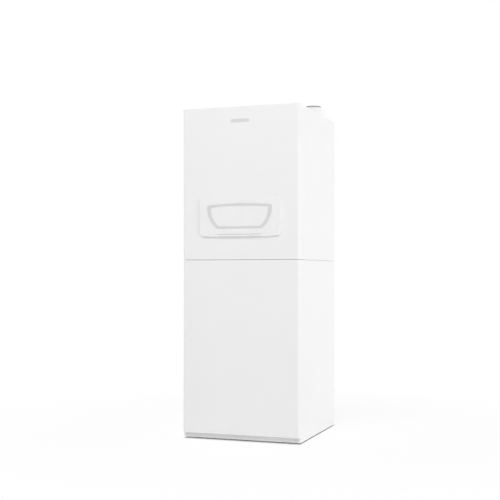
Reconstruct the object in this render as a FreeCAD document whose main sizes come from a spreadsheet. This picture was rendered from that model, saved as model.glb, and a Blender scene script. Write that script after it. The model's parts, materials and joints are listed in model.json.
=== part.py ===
import FreeCAD, Part
import math
import os
import re
import Sketcher
from FreeCAD import Placement, Rotation, Vector

# Floor-standing condensing gas boiler: boiler module above, hot-water tank module below.
# Millimetres. The front faces -Y, +X is to the right seen from the front, +Z is up.
# The origin is on the floor under the middle of the casing.

SIZES = {
    # casing
    "case_width": 600, "case_depth": 650, "case_height": 1620, "upper_height": 742,
    "seam_gap": 1.5, "skin": 1.2, "panel_return": 18, "front_round": 12, "edge_round": 3, "panel_gap": 0.5,
    "fit_gap": 0.3, "run_gap": 0.05, "overrun": 2, "side_flange": 18, "front_rise": 29,
    "side_rise": 5, "top_flange": 20, "back_rise": 20, "back_margin": 10,
    # base, posts and deck
    "tray_rise": 6, "tray_wall": 2, "tray_height": 44, "plinth_setback": 22, "plinth_rise": 5,
    "plinth_drop": 1, "plinth_wall": 1.2, "plinth_inset": 6, "post_leg": 30, "post_wall": 2,
    "deck_inset": 14, "deck_wall": 2,
    # levelling feet
    "foot_radius": 22, "foot_neck": 13, "foot_rim": 2.5, "stud_radius": 5, "stud_length": 34,
    "foot_inset": 66, "nut_radius": 10, "nut_height": 9,
    # control flap
    "flap_width": 409, "flap_rise": 114, "flap_height": 181, "flap_bow": 5, "flap_depth": 9.5,
    "flap_wall": 2.2, "flap_rest": 0.5, "flap_corner": 20, "flap_top_corner": 6, "flap_edge": 1.6,
    "barrel_height": 11, "hinge_radius": 4.2, "lip_width": 230, "lip_rise": 7, "lip_out": 4,
    "groove_height": 3, "groove_depth": 5.5, "lip_foot": 2,
    # trim ring and centre plate on the flap
    "ring_rise": 37, "ring_height": 112, "ring_top_width": 332, "ring_low_width": 228,
    "ring_top_bow": 9, "ring_side_bow": 16, "ring_side_wall": 20, "ring_low_side": 9,
    "ring_top_wall": 9, "ring_low_wall": 10, "inner_top_bow": 7, "inner_side_bow": 12,
    "ring_seat": 1, "ring_proud": 1.6, "ring_corner": 9, "plate_proud": 0.4, "ledge_rise": 10,
    "ledge_proud": 0.8, "ring_edge": 0.8,
    # flap hinge
    "bracket_x": 150, "bracket_width": 12, "ear_radius": 2.8, "pin_radius": 1.5, "pin_length": 26,
    "notch_gap": 0.4, "tail_height": 4, "tail_width": 8, "tail_flange": 14, "tail_wall": 1.5,
    # control console
    "cutout_width": 380, "cutout_height": 150, "cutout_rise": 12, "cutout_corner": 1.5,
    "fascia_margin": 6, "fascia_setback": 13, "fascia_wall": 3, "rim_wall": 3, "box_depth": 108,
    "box_wall": 2, "wing_height": 56, "wing_wall": 1.5, "gland_side": 90, "gland_rise": 120,
    "gland_radius": 11, "gland_hex": 15, "gland_wall": 6, "gland_tail": 7, "gland_bore": 5,
    # dials, keys and display
    "gauge_x": -142, "gauge_radius": 31, "gauge_depth": 24, "gauge_rim": 2.6, "gauge_proud": 2.5,
    "dial_depth": 7, "lens_wall": 1.5, "lens_seat": 1, "needle_length": 19, "needle_tail": 7,
    "needle_width": 2.2, "needle_wall": 0.8, "needle_hub": 3, "needle_lift": 1.4, "needle_pin": 1,
    "knob_x": -72, "knob_pitch": 58, "knob_radius": 21, "knob_top": 18.5, "knob_height": 14,
    "flute_count": 14,
    "knob_shaft": 4, "knob_tail": 16, "knob_gap": 0.5, "flute_radius": 2.2, "flute_inset": 0.6,
    "flute_foot": 4, "pointer_width": 2.4, "pointer_depth": 1,
    "screen_x": 84, "screen_z": 14, "screen_width": 88, "screen_height": 50, "screen_depth": 14,
    "screen_proud": 1, "screen_edge": 0.6, "key_x": 56, "key_pitch": 28, "key_drop": 36,
    "key_radius": 6.5, "key_proud": 3, "key_flange": 1.5, "key_flange_wall": 1.6, "key_edge": 0.8,
    "rocker_x": 158, "rocker_width": 17, "rocker_height": 26, "rocker_rise": 5, "rocker_dip": 2.4,
    "rocker_root": 7, "rocker_gap": 0.6, "rocker_angle": 8, "needle_angle": 135,
    # heat exchanger and burner hood
    "core_x": 0, "core_front": -60, "core_gap": 65, "core_depth": 200, "core_rise": 141,
    "core_height": 320, "core_wall": 26, "core_flange": 12, "core_flange_out": 14, "rib_wall": 7,
    "rib_depth": 12, "rib_inset": 20, "rib_count": 8, "hood_height": 48, "hood_flange": 8,
    "hood_inset": 20, "hood_round": 14,
    # fan, venturi and gas valve
    "fan_x": 30, "fan_y": 20, "fan_radius": 80, "fan_depth": 62, "fan_wall": 3, "duct_width": 62,
    "fan_drop": 92, "shaft_radius": 4, "shaft_gap": 0.5, "wheel_radius": 62, "wheel_disc": 3,
    "blade_depth": 30, "blade_wall": 3.4, "blade_inner": 26, "blade_sweep": 34, "blade_bow": 5,
    "blade_count": 12, "wheel_hub": 11,
    "wheel_lift": 6, "motor_radius": 44, "motor_length": 52, "motor_step": 6, "motor_flange": 5,
    "bell_flange": 5, "bell_radius": 34, "bell_wall": 3, "bell_length": 46, "bell_throat": 20,
    "valve_gap": 50, "valve_width": 66, "valve_depth": 70, "valve_height": 104, "valve_edge": 4,
    "coil_radius": 17, "coil_height": 24, "coil_inset": 20, "gas_tube": 9, "silencer_radius": 31,
    "silencer_bend": 50, "silencer_run": 62, "silencer_length": 210, "silencer_wall": 3,
    "electrode_inset": 41, "electrode_radius": 5, "electrode_length": 34,
    "electrode_plate": 13, "electrode_wall": 3, "electrode_tip": 3, "electrode_cap": 12,
    # condensate and flue
    "sump_height": 62, "sump_arm": 110, "socket_radius": 48, "socket_rise": 26,
    "trap_radius": 27, "trap_height": 66, "trap_cap": 31, "trap_cap_height": 18, "trap_y": 20,
    "drain_radius": 10, "drain_rise": 30, "flue_side": 78, "flue_back": 145, "flue_bore": 35.5,
    "flue_wall": 2, "flue_insert": 40, "flue_stand": 60, "socket_bore": 40.4, "socket_depth": 56,
    "socket_flare": 6, "seal_height": 4, "seal_gap": 0.3, "collar_bore": 62.7, "collar_wall": 2.2,
    "collar_stand": 50, "collar_flange": 12, "collar_foot": 3, "vent_radius": 57,
    # pump, valves and vessel
    "pipe_radius": 11, "pipe_bore": 10, "pipe_bend": 30, "pipe_rise": 51, "stub": 14,
    "return_inset": 42, "line_pitch": 45, "water_x": 60, "hole_gap": 3, "spigot_radius": 13.2,
    "drain_spigot": 12,
    "pump_y": -120, "pump_radius": 46, "pump_depth": 48, "port_radius": 16, "port_length": 18,
    "head_radius": 40, "head_length": 62, "head_step": 5, "head_face": 30, "head_flange": 9,
    "feed_rise": 40, "feed_y": 20, "rise_inset": 40, "outlet_y": 60, "valve_radius": 20,
    "valve_body": 56, "act_width": 52, "act_depth": 46, "act_height": 62, "act_edge": 5,
    "vessel_step": 70, "vessel_radius": 158, "vessel_depth": 96, "vessel_rise": 450,
    "vessel_gap": 14, "vessel_crown": 40, "vessel_rim": 4, "vessel_pipe": 7,
    "bracket_reach": 90, "bracket_high": 44, "bracket_wall": 2, "relief_back": 60,
    "relief_radius": 14, "relief_height": 42, "relief_knob": 16, "relief_knob_height": 18,
    "relief_stem": 4, "relief_lobe_count": 6, "vent_step": 55, "bleed_radius": 15,
    "bleed_height": 54, "bleed_cap": 7, "bleed_cap_height": 10, "tee_radius": 15, "tee_length": 40,
    # tank module
    "tank_side_gap": 32, "tank_rear_gap": 57, "tank_wall": 3, "tank_head": 82.7, "tank_dome": 62,
    "tank_rise": 112, "neck_radius": 26, "neck_height": 26, "neck_bore": 17, "foam_wall": 36, "foam_top": 24,
    "nipple_radius": 14, "nipple_y": 110, "coil_out_y": 20,
    "feed_drop": 34, "anode_hex": 24, "anode_cap": 14, "anode_rod": 13, "anode_length": 340,
    "cock_x": -95, "cock_rise": 60, "cock_radius": 12, "cock_body": 17,
    "cock_length": 30, "cock_knob": 15, "cock_knob_wall": 12, "cock_stem": 4, "cock_spout": 8,
    "cock_spout_drop": 30, "cock_lobe_count": 5,
}

doc = FreeCAD.newDocument("condensing_boiler")
sheet = doc.addObject("Spreadsheet::Sheet", "Sizes")
for row, (alias, amount) in enumerate(SIZES.items(), start=1):
    sheet.set(f"A{row}", alias)
    sheet.set(f"B{row}", str(amount))
    sheet.setAlias(f"B{row}", alias)
probe = doc.addObject("App::FeaturePython", "probe")
probe.addProperty("App::PropertyFloat", "amount")
doc.recompute()

ALIAS = re.compile(r"[a-z][a-z0-9_]*")
NODES = {}


# Helpers

def formula(text):
    """Expression for FreeCAD with each size's name pointed at its cell."""
    return ALIAS.sub(lambda found: f"Sizes.{found[0]}" if found[0] in SIZES else found[0], text)


def number(text):
    """Present value of an expression in sizes."""
    probe.setExpression("amount", formula(text))
    probe.recompute()
    return probe.amount


def point(x, y, z="0"):
    return Vector(number(x), number(y), number(z))


def bind(thing, **texts):
    for name, text in texts.items():
        thing.setExpression(name, formula(text))
    return thing


def place(thing, x="0", y="0", z="0"):
    for axis, text in zip("xyz", (x, y, z)):
        thing.setExpression(f"Placement.Base.{axis}", formula(text))
    return thing


def keep(label, thing):
    thing.Label = label
    NODES[label] = thing
    return thing


def bow_radius(chord, rise):
    return f"((({chord})^2/4 + ({rise})^2)/(2*({rise})))"


def box(name, x, y, z, length, width, height):
    block = bind(doc.addObject("Part::Box", name), Length=length, Width=width, Height=height)
    return place(block, x, y, z)


TOWARDS = {"x": Rotation(Vector(0, 1, 0), 90), "front": Rotation(Vector(1, 0, 0), 90),
           "rear": Rotation(Vector(1, 0, 0), -90), "z": Rotation()}


def rod(name, x, y, z, radius, length, towards="z"):
    bar = bind(doc.addObject("Part::Cylinder", name), Radius=radius, Height=length)
    bar.Placement = Placement(Vector(), TOWARDS[towards])
    return place(bar, x, y, z)


def fuse(name, things):
    whole = doc.addObject("Part::MultiFuse", name)
    whole.Shapes = things
    return whole


def cut(name, base, tool):
    rest = doc.addObject("Part::Cut", name)
    rest.Base = base
    rest.Tool = tool
    return rest


def group(name, things):
    bundle = doc.addObject("Part::Compound", name)
    bundle.Links = things
    return bundle


def new_body(label, kept=True):
    body = doc.addObject("PartDesign::Body", label)
    return keep(label, body) if kept else body


def sketch_in(body, role, offset="0"):
    plane = next(part for part in body.Origin.OriginFeatures if part.Role == role)
    sketch = body.newObject("Sketcher::SketchObject", "outline")
    sketch.AttachmentSupport = [(plane, "")]
    sketch.MapMode = "FlatFace"
    sketch.setExpression("AttachmentOffset.Base.z", formula(offset))
    return sketch


def pin_point(sketch, edge, end, x, y):
    for kind, text in (("DistanceX", x), ("DistanceY", y)):
        spot = sketch.addConstraint(Sketcher.Constraint(kind, -1, 1, edge, end, number(text)))
        sketch.setExpression(f"Constraints[{spot}]", formula(text))


def trace(sketch, corners, bows=None, hollows=None):
    """Closed outline, counter-clockwise; bows and hollows give the radius of an edge that
    curves out of or into it."""
    arcs = {**(bows or {}), **(hollows or {})}
    spots = [point(x, y) for x, y in corners]
    first = sketch.GeometryCount
    ends = []
    for order, (start, end) in enumerate(zip(spots, spots[1:] + spots[:1])):
        ends.append((2, 1) if order in (hollows or {}) else (1, 2))
        if order not in arcs:
            sketch.addGeometry(Part.LineSegment(start, end), False)
            continue
        if order in (hollows or {}):
            start, end = end, start
        radius = number(arcs[order])
        chord = end - start
        inward = Vector(-chord.y, chord.x, 0).normalize()
        middle = (start + end) / 2 + inward * math.sqrt(radius ** 2 - chord.Length ** 2 / 4)
        angles = [math.atan2(spot.y - middle.y, spot.x - middle.x) for spot in (start, end)]
        ring = Part.Circle(middle, Vector(0, 0, 1), radius)
        sketch.addGeometry(Part.ArcOfCircle(ring, *angles), False)
    for order, (x, y) in enumerate(corners):
        after = (order + 1) % len(corners)
        sketch.addConstraint(Sketcher.Constraint("Coincident", first + order, ends[order][1],
                                                 first + after, ends[after][0]))
        pin_point(sketch, first + order, ends[order][0], x, y)
    for order, text in arcs.items():
        spot = sketch.addConstraint(Sketcher.Constraint("Radius", first + order, number(text)))
        sketch.setExpression(f"Constraints[{spot}]", formula(text))
    return sketch


def rectangle(sketch, left, low, right, high):
    return trace(sketch, [(left, low), (right, low), (right, high), (left, high)])


def circle(sketch, x, y, radius):
    ring = Part.Circle(point(x, y), Vector(0, 0, 1), number(radius))
    edge = sketch.addGeometry(ring, False)
    pin_point(sketch, edge, 3, x, y)
    spot = sketch.addConstraint(Sketcher.Constraint("Radius", edge, number(radius)))
    sketch.setExpression(f"Constraints[{spot}]", formula(radius))
    return sketch


def feature(body, kind, sketch, length, flip=False, both=False):
    step = body.newObject(f"PartDesign::{kind}", kind.lower())
    step.Profile = sketch
    step.setExpression("Length", formula(length))
    step.Reversed = flip
    step.Midplane = both
    return step


def pad(body, sketch, length, flip=False, both=False):
    return feature(body, "Pad", sketch, length, flip, both)


def pocket(body, sketch, length, flip=False, both=False):
    return feature(body, "Pocket", sketch, length, flip, both)


def spin(body, sketch, half=None):
    turn = body.newObject("PartDesign::Revolution", "turn")
    turn.Profile = sketch
    turn.ReferenceAxis = (sketch, ["V_Axis"])
    turn.Angle = 360 if half is None else 180
    turn.Reversed = half == "front"
    return turn


def edges_in(shape, along=None, **planes):
    """Names of the edges that lie in the given planes and run along the given axis."""
    names = []
    for order, edge in enumerate(shape.Edges, start=1):
        limits = edge.BoundBox
        spans = {"x": (limits.XMin, limits.XMax), "y": (limits.YMin, limits.YMax),
                 "z": (limits.ZMin, limits.ZMax)}
        flat = {axis: math.isclose(*span, abs_tol=1e-4) for axis, span in spans.items()}
        if along and not all(flat[axis] != (axis == along) for axis in flat):
            continue
        if all(flat[axis] and math.isclose(spans[axis][0], number(text), abs_tol=1e-4)
               for axis, text in planes.items()):
            names.append(f"Edge{order}")
    return names


def faces_in(shape, axis, text):
    level = number(text)
    names = []
    for order, face in enumerate(shape.Faces, start=1):
        limits = face.BoundBox
        low = getattr(limits, f"{axis.upper()}Min")
        high = getattr(limits, f"{axis.upper()}Max")
        if math.isclose(low, level, abs_tol=1e-4) and math.isclose(high, level, abs_tol=1e-4):
            names.append(f"Face{order}")
    return names


def soften(body, radius, kind="Fillet", along=None, spots=(), **planes):
    """Fillet or chamfer on edges of the body's last feature, found by plane and direction."""
    doc.recompute()
    base = body.Tip
    names = []
    for wanted in spots or [planes]:
        names += edges_in(base.Shape, along, **wanted)
    step = body.newObject(f"PartDesign::{kind}", kind.lower())
    step.Base = (base, names)
    step.setExpression("Radius" if kind == "Fillet" else "Size", formula(radius))
    return step


def hollow(body, axis, text, wall):
    """Shell of the body's last feature, open at its faces in one plane."""
    doc.recompute()
    base = body.Tip
    step = body.newObject("PartDesign::Thickness", "hollow")
    step.Base = (base, faces_in(base.Shape, axis, text))
    step.setExpression("Value", formula(wall))
    step.Reversed = True
    return step


def repeat(body, step, axis, count):
    rounds = body.newObject("PartDesign::PolarPattern", "rounds")
    rounds.Originals = [step]
    rounds.Axis = axis
    rounds.Angle = 360
    rounds.setExpression("Occurrences", formula(count))
    body.Tip = rounds
    return rounds


def turned(label, outline, bows=None, hollows=None, towards="z", half=None, kept=True):
    """Body of revolution; the outline gives radius and height along its axis."""
    body = new_body(label, kept)
    spin(body, trace(sketch_in(body, "XZ_Plane"), outline, bows, hollows), half)
    body.Placement = Placement(Vector(), TOWARDS[towards])
    return body


def prism(label, role, offset, corners, length, flip=False, both=False, kept=True):
    body = new_body(label, kept)
    pad(body, trace(sketch_in(body, role, offset), corners), length, flip, both)
    return body


def bent_rod(spots, radius, bend):
    """Solid rod through the points, with an arc of one radius at each bend."""
    spots = [point(*spot) for spot in spots]
    reach = number(bend)
    edges = []
    start = spots[0]
    for before, corner, after in zip(spots, spots[1:], spots[2:]):
        back = (before - corner).normalize()
        on = (after - corner).normalize()
        angle = back.getAngle(on)
        run = reach / math.tan(angle / 2)
        enter = corner + back * run
        leave = corner + on * run
        axis = (back + on).normalize()
        middle = corner + axis * (reach / math.sin(angle / 2) - reach)
        edges.append(Part.LineSegment(start, enter).toShape())
        edges.append(Part.Arc(enter, middle, leave).toShape())
        start = leave
    edges.append(Part.LineSegment(start, spots[-1]).toShape())
    ring = Part.Circle(spots[0], spots[1] - spots[0], number(radius)).toShape()
    return Part.Wire(edges).makePipeShell([Part.Wire([ring])], True, False)


def bar_shape(spot, towards, radius, length):
    return Part.makeCylinder(number(radius), number(length), point(*spot), towards)


def shaped(label, solid):
    thing = doc.addObject("Part::Feature", label)
    thing.Shape = solid
    thing.Placement = Placement()
    return thing


# Shared places, written in sizes

HALF_W = "(case_width/2)"
FRONT = "(-case_depth/2)"
BACK = "(case_depth/2)"
SIDE_FRONT = f"({FRONT} + panel_return + panel_gap)"
PANEL_BACK = f"({BACK} - skin - fit_gap)"
REAR = f"({PANEL_BACK} - skin - fit_gap)"
SEAM = "(case_height - upper_height)"
UPPER_LOW = f"({SEAM} + seam_gap/2)"
LOWER_HIGH = f"({SEAM} - seam_gap/2)"
DECK = f"({SEAM} + deck_wall/2)"
TRAY_X = f"({HALF_W} - skin - side_flange - panel_gap)"
TRAY_FRONT = f"({FRONT} + plinth_setback + plinth_wall/2)"
TRAY_FLOOR = "(tray_rise + tray_wall)"
POST_X = f"({TRAY_X} - tray_wall - fit_gap)"
POST_FRONT = f"({TRAY_FRONT} + tray_wall + fit_gap)"
POST_REAR = f"({REAR} - tray_wall - fit_gap)"
COVER_LOW = "(case_height - top_flange)"
FOOT_X = f"({HALF_W} - foot_inset)"
FOOT_Y = "(case_depth/2 - foot_inset)"
PIPE_Z = f"({DECK} + pipe_rise)"
STUB_Y = f"({BACK} + stub)"
FOAM_OUT = f"min({HALF_W} - tank_side_gap; {BACK} - tank_rear_gap)"
TANK_R = f"({FOAM_OUT} - foam_wall)"
RETURN_X = f"(return_inset - {TANK_R})"
FLOW_X = f"({RETURN_X} - line_pitch)"
COIL_IN_X = f"({RETURN_X} + line_pitch)"
GAS_X = "(fan_x + bell_radius + valve_gap + valve_width/2)"
GLAND_X = f"({HALF_W} - gland_side)"
FLUE_X = f"({HALF_W} - flue_side)"
FLUE_Y = f"({BACK} - flue_back)"
CORE_LEFT = f"({RETURN_X} + core_gap)"
CORE_RIGHT = f"(2*core_x - {CORE_LEFT})"
CORE_WIDTH = f"({CORE_RIGHT} - {CORE_LEFT})"
TURNS = [(across, along) for across in ("-1", "1") for along in ("-1", "1")]
CORNER_NAMES = {("-1", "-1"): "front_left", ("1", "-1"): "front_right",
                ("-1", "1"): "rear_left", ("1", "1"): "rear_right"}

# Base tray, plinth and levelling feet

tray = prism("base_tray", "XY_Plane", "tray_rise",
             [(f"-{TRAY_X}", TRAY_FRONT), (TRAY_X, TRAY_FRONT), (TRAY_X, REAR), (f"-{TRAY_X}", REAR)],
             "tray_height")
hollow(tray, "z", "tray_rise + tray_height", "tray_wall")
nuts = sketch_in(tray, "XY_Plane", "tray_rise + tray_wall/2")
studs = sketch_in(tray, "XY_Plane", "tray_rise - overrun")
for across, along in TURNS:
    circle(nuts, f"{across}*{FOOT_X}", f"{along}*{FOOT_Y}", "nut_radius")
    circle(studs, f"{across}*{FOOT_X}", f"{along}*{FOOT_Y}", "stud_radius + run_gap")
pad(tray, nuts, "tray_wall/2 + nut_height")
pocket(tray, studs, "tray_wall + nut_height + 2*overrun", flip=True)

FOOT_TOP = "(tray_rise - fit_gap)"
for across, along in TURNS:
    foot = turned(f"foot_{CORNER_NAMES[across, along]}",
                  [("0", "0"), ("foot_radius", "0"), ("foot_radius", "foot_rim"),
                   ("foot_neck", FOOT_TOP), ("stud_radius", FOOT_TOP),
                   ("stud_radius", "stud_length"), ("0", "stud_length")])
    place(foot, f"{across}*{FOOT_X}", f"{along}*{FOOT_Y}")

PLINTH_X = f"({HALF_W} - plinth_inset)"
rail = rectangle(sketch_in(tray, "XZ_Plane", f"-{FRONT} - plinth_setback"), f"-{PLINTH_X}", "plinth_rise",
                 PLINTH_X, "front_rise - plinth_drop")
pad(tray, rail, "plinth_wall", flip=True)

# Frame posts: four angle sections

posts = []
for across, along in TURNS:
    left = f"{POST_X} - post_leg" if across == "1" else f"-{POST_X}"
    near = f"{POST_REAR} - post_leg" if along == "1" else POST_FRONT
    step_x = "0" if across == "1" else "1"
    step_y = "0" if along == "1" else "1"
    height = f"{COVER_LOW} - fit_gap - {TRAY_FLOOR}"
    angle = box("angle", left, near, TRAY_FLOOR, "post_leg", "post_leg", height)
    void = box("void", f"{left} + {step_x}*post_wall - (1 - {step_x})*overrun",
               f"{near} + {step_y}*post_wall - (1 - {step_y})*overrun", f"{TRAY_FLOOR} - overrun",
               "post_leg - post_wall + overrun", "post_leg - post_wall + overrun",
               f"{height} + 2*overrun")
    posts.append(cut("post", angle, void))
keep("frame_posts", group("frame_posts", posts))

# Deck between the modules, with openings for the posts and the tank's pipes

DECK_X = f"({HALF_W} - deck_inset)"
deck = prism("mid_deck", "XY_Plane", f"{DECK} - deck_wall",
             [(f"-{DECK_X}", f"{SIDE_FRONT} + skin + fit_gap"),
              (DECK_X, f"{SIDE_FRONT} + skin + fit_gap"), (DECK_X, REAR), (f"-{DECK_X}", REAR)],
             "deck_wall")
windows = sketch_in(deck, "XY_Plane", f"{DECK} - deck_wall - overrun")
for across in ("-1", "1"):
    inner = f"({POST_X} - post_leg - fit_gap)"
    outer = f"({POST_X} + fit_gap)"
    left, right = (f"-{outer}", f"-{inner}") if across == "-1" else (inner, outer)
    rectangle(windows, left, f"{POST_FRONT} - fit_gap", right, f"{POST_FRONT} + post_leg + fit_gap")
    rectangle(windows, left, f"{POST_REAR} - post_leg - fit_gap", right, f"{POST_REAR} + fit_gap")
for x, y in (("-water_x", "nipple_y"), ("water_x", "nipple_y"), (FLOW_X, "outlet_y"),
             (RETURN_X, "coil_out_y")):
    circle(windows, x, y, "pipe_radius + fit_gap")
pocket(deck, windows, "deck_wall + 2*overrun", flip=True)

# Side panels: sheet with a flange at the front and the rear

for side, sign in (("left", "-1"), ("right", "1")):
    skin_x = [f"{sign}*{HALF_W}", f"{sign}*({HALF_W} - side_flange)", f"{sign}*({HALF_W} - skin)"]
    outline = [(skin_x[0], SIDE_FRONT), (skin_x[0], BACK), (skin_x[1], BACK),
               (skin_x[1], f"{BACK} - skin"), (skin_x[2], f"{BACK} - skin"),
               (skin_x[2], f"{SIDE_FRONT} + skin"), (skin_x[1], f"{SIDE_FRONT} + skin"),
               (skin_x[1], SIDE_FRONT)]
    prism(f"lower_{side}_side", "XY_Plane", "side_rise", outline, f"{LOWER_HIGH} - side_rise")
    prism(f"upper_{side}_side", "XY_Plane", UPPER_LOW, outline, f"case_height - {UPPER_LOW}")

# Back panel with holes for the pipe stubs and the mains gland

BACK_X = f"({HALF_W} - back_margin)"
BACK_HIGH = f"({COVER_LOW} - fit_gap)"
GLAND_Z = f"({DECK} + gland_rise)"
back = prism("back_panel", "XZ_Plane", f"-{PANEL_BACK}",
             [(f"-{BACK_X}", "back_rise"), (BACK_X, "back_rise"), (BACK_X, BACK_HIGH),
              (f"-{BACK_X}", BACK_HIGH)], "skin")
holes = sketch_in(back, "XZ_Plane", f"-{PANEL_BACK} - overrun")
for x in (RETURN_X, FLOW_X, "-water_x", "water_x", GAS_X):
    circle(holes, x, PIPE_Z, "spigot_radius + fit_gap")
circle(holes, "core_x", f"{DECK} + drain_rise", "drain_spigot + fit_gap")
circle(holes, GLAND_X, GLAND_Z, "gland_radius + fit_gap")
pocket(back, holes, "skin + 2*overrun", flip=True)

# Hat bracket welded inside the back panel to carry the expansion vessel

VESSEL_X = f"({RETURN_X} + vessel_step)"
VESSEL_Z = f"({DECK} + vessel_rise)"
VESSEL_Y = f"({REAR} - vessel_gap - vessel_depth/2)"
BRACE_Y = f"({VESSEL_Y} + vessel_depth/2 + fit_gap)"
WELD_Y = f"({PANEL_BACK} - skin/2)"
FOOT_OF_HAT = f"({REAR} + fit_gap - bracket_wall)"
hat_half = [("bracket_reach", WELD_Y), ("bracket_reach/2 - bracket_wall", WELD_Y),
            ("bracket_reach/2 - bracket_wall", f"{BRACE_Y} + bracket_wall")]
hat_half_out = [("bracket_reach/2", BRACE_Y), ("bracket_reach/2", FOOT_OF_HAT),
                ("bracket_reach", FOOT_OF_HAT)]
hat = [(f"{VESSEL_X} + {x}", y) for x, y in hat_half_out + hat_half]
hat += [(f"{VESSEL_X} - ({x})", y) for x, y in (hat_half_out + hat_half)[::-1]]
pad(back, trace(sketch_in(back, "XY_Plane", f"{VESSEL_Z} - bracket_high/2"), hat), "bracket_high")

# Top cover: lid with turned-down edges and the round opening for flue and air

COVER_X = f"({HALF_W} - skin - fit_gap)"
COVER_FRONT = f"({SIDE_FRONT} + skin + fit_gap)"
cover = prism("top_cover", "XY_Plane", COVER_LOW,
              [(f"-{COVER_X}", COVER_FRONT), (COVER_X, COVER_FRONT), (COVER_X, PANEL_BACK),
               (f"-{COVER_X}", PANEL_BACK)], "top_flange")
hollow(cover, "z", COVER_LOW, "skin")
hole = circle(sketch_in(cover, "XY_Plane", f"{COVER_LOW} - overrun"), FLUE_X, FLUE_Y, "vent_radius")
pocket(cover, hole, "top_flange + 2*overrun", flip=True)

# Front panels: folded trays with rounded vertical edges

FLAP_LOW = f"({DECK} + flap_rise)"
FLAP_TOP = f"({FLAP_LOW} + flap_height)"
FLAP_BACK = f"({FRONT} - flap_rest)"
HINGE_Y = f"({FLAP_BACK} - hinge_radius)"
HINGE_Z = f"({FLAP_TOP} - hinge_radius)"
CUT_LOW = f"({FLAP_LOW} + cutout_rise)"
CUT_HIGH = f"({CUT_LOW} + cutout_height)"
CONSOLE_Z = f"({CUT_LOW} + cutout_height/2)"


def front_tray(label, low, high):
    panel = prism(label, "XZ_Plane", f"-{FRONT}",
                  [(f"-{HALF_W}", low), (HALF_W, low), (HALF_W, high), (f"-{HALF_W}", high)],
                  "panel_return", flip=True)
    soften(panel, "front_round", along="z", y=FRONT)
    soften(panel, "edge_round", spots=({"y": FRONT, "z": low}, {"y": FRONT, "z": high}), along="x")
    hollow(panel, "y", f"{FRONT} + panel_return", "skin")
    return panel


front_tray("lower_front_panel", "front_rise", LOWER_HIGH)
upper = front_tray("upper_front_panel", UPPER_LOW, "case_height")
window = sketch_in(upper, "XZ_Plane", f"-{FRONT} + overrun")
rectangle(window, "-cutout_width/2", CUT_LOW, "cutout_width/2", CUT_HIGH)
for sign in ("-1", "1"):
    rectangle(window, f"{sign}*bracket_x - tail_width/2 - fit_gap",
              f"{HINGE_Z} - tail_height/2 - fit_gap", f"{sign}*bracket_x + tail_width/2 + fit_gap",
              f"{HINGE_Z} + tail_height/2 + fit_gap")
pocket(upper, window, "skin + 2*overrun")
soften(upper, "cutout_corner", along="y",
       spots=[{"x": f"{sign}*cutout_width/2", "z": level}
              for sign in ("-1", "1") for level in (CUT_LOW, CUT_HIGH)])

# Control flap: bowed lower edge, hollow back, hinge barrel along the top

HALF_FLAP = "(flap_width/2)"
FACE = f"({FLAP_BACK} - flap_depth)"
flap = new_body("control_flap")
face = trace(sketch_in(flap, "XZ_Plane", f"-{FLAP_BACK}"),
             [(f"-{HALF_FLAP}", FLAP_LOW), (HALF_FLAP, FLAP_LOW), (HALF_FLAP, FLAP_TOP),
              (f"-{HALF_FLAP}", FLAP_TOP)], {0: bow_radius("flap_width", "flap_bow")})
pad(flap, face, "flap_depth")
soften(flap, "flap_corner", along="y",
       spots=[{"x": f"{sign}*{HALF_FLAP}", "z": FLAP_LOW} for sign in ("-1", "1")])
soften(flap, "flap_top_corner", along="y",
       spots=[{"x": f"{sign}*{HALF_FLAP}", "z": FLAP_TOP} for sign in ("-1", "1")])
hollow(flap, "y", FLAP_BACK, "flap_wall")
soften(flap, "flap_edge", y=FACE)
barrel = rectangle(sketch_in(flap, "XZ_Plane", f"-{FLAP_BACK}"), f"flap_wall/2 - {HALF_FLAP}",
                   f"{FLAP_TOP} - barrel_height", f"{HALF_FLAP} - flap_wall/2",
                   f"{FLAP_TOP} - flap_wall/2")
pad(flap, barrel, "flap_depth - flap_wall/2")
relief_cut = trace(sketch_in(flap, "YZ_Plane"),
                   [(FLAP_BACK, HINGE_Z), (f"{FLAP_BACK} + overrun", HINGE_Z),
                    (f"{FLAP_BACK} + overrun", f"{FLAP_TOP} + overrun"), (HINGE_Y, f"{FLAP_TOP} + overrun"),
                    (HINGE_Y, FLAP_TOP)], hollows={4: "hinge_radius"})
pocket(flap, relief_cut, "flap_width + 2*overrun", both=True)
notches = sketch_in(flap, "XZ_Plane", f"-{FLAP_BACK} - overrun")
for sign in ("-1", "1"):
    rectangle(notches, f"{sign}*bracket_x - bracket_width/2 - notch_gap",
              f"{HINGE_Z} - ear_radius - notch_gap", f"{sign}*bracket_x + bracket_width/2 + notch_gap",
              f"{FLAP_TOP} + overrun")
pocket(flap, notches, "overrun + flap_depth - flap_wall", flip=True)
pins = circle(sketch_in(flap, "YZ_Plane"), HINGE_Y, HINGE_Z, "pin_radius + run_gap")
pocket(flap, pins, "2*bracket_x + pin_length + 2*fit_gap", both=True)

# Finger groove and lip along the flap's lower edge

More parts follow.
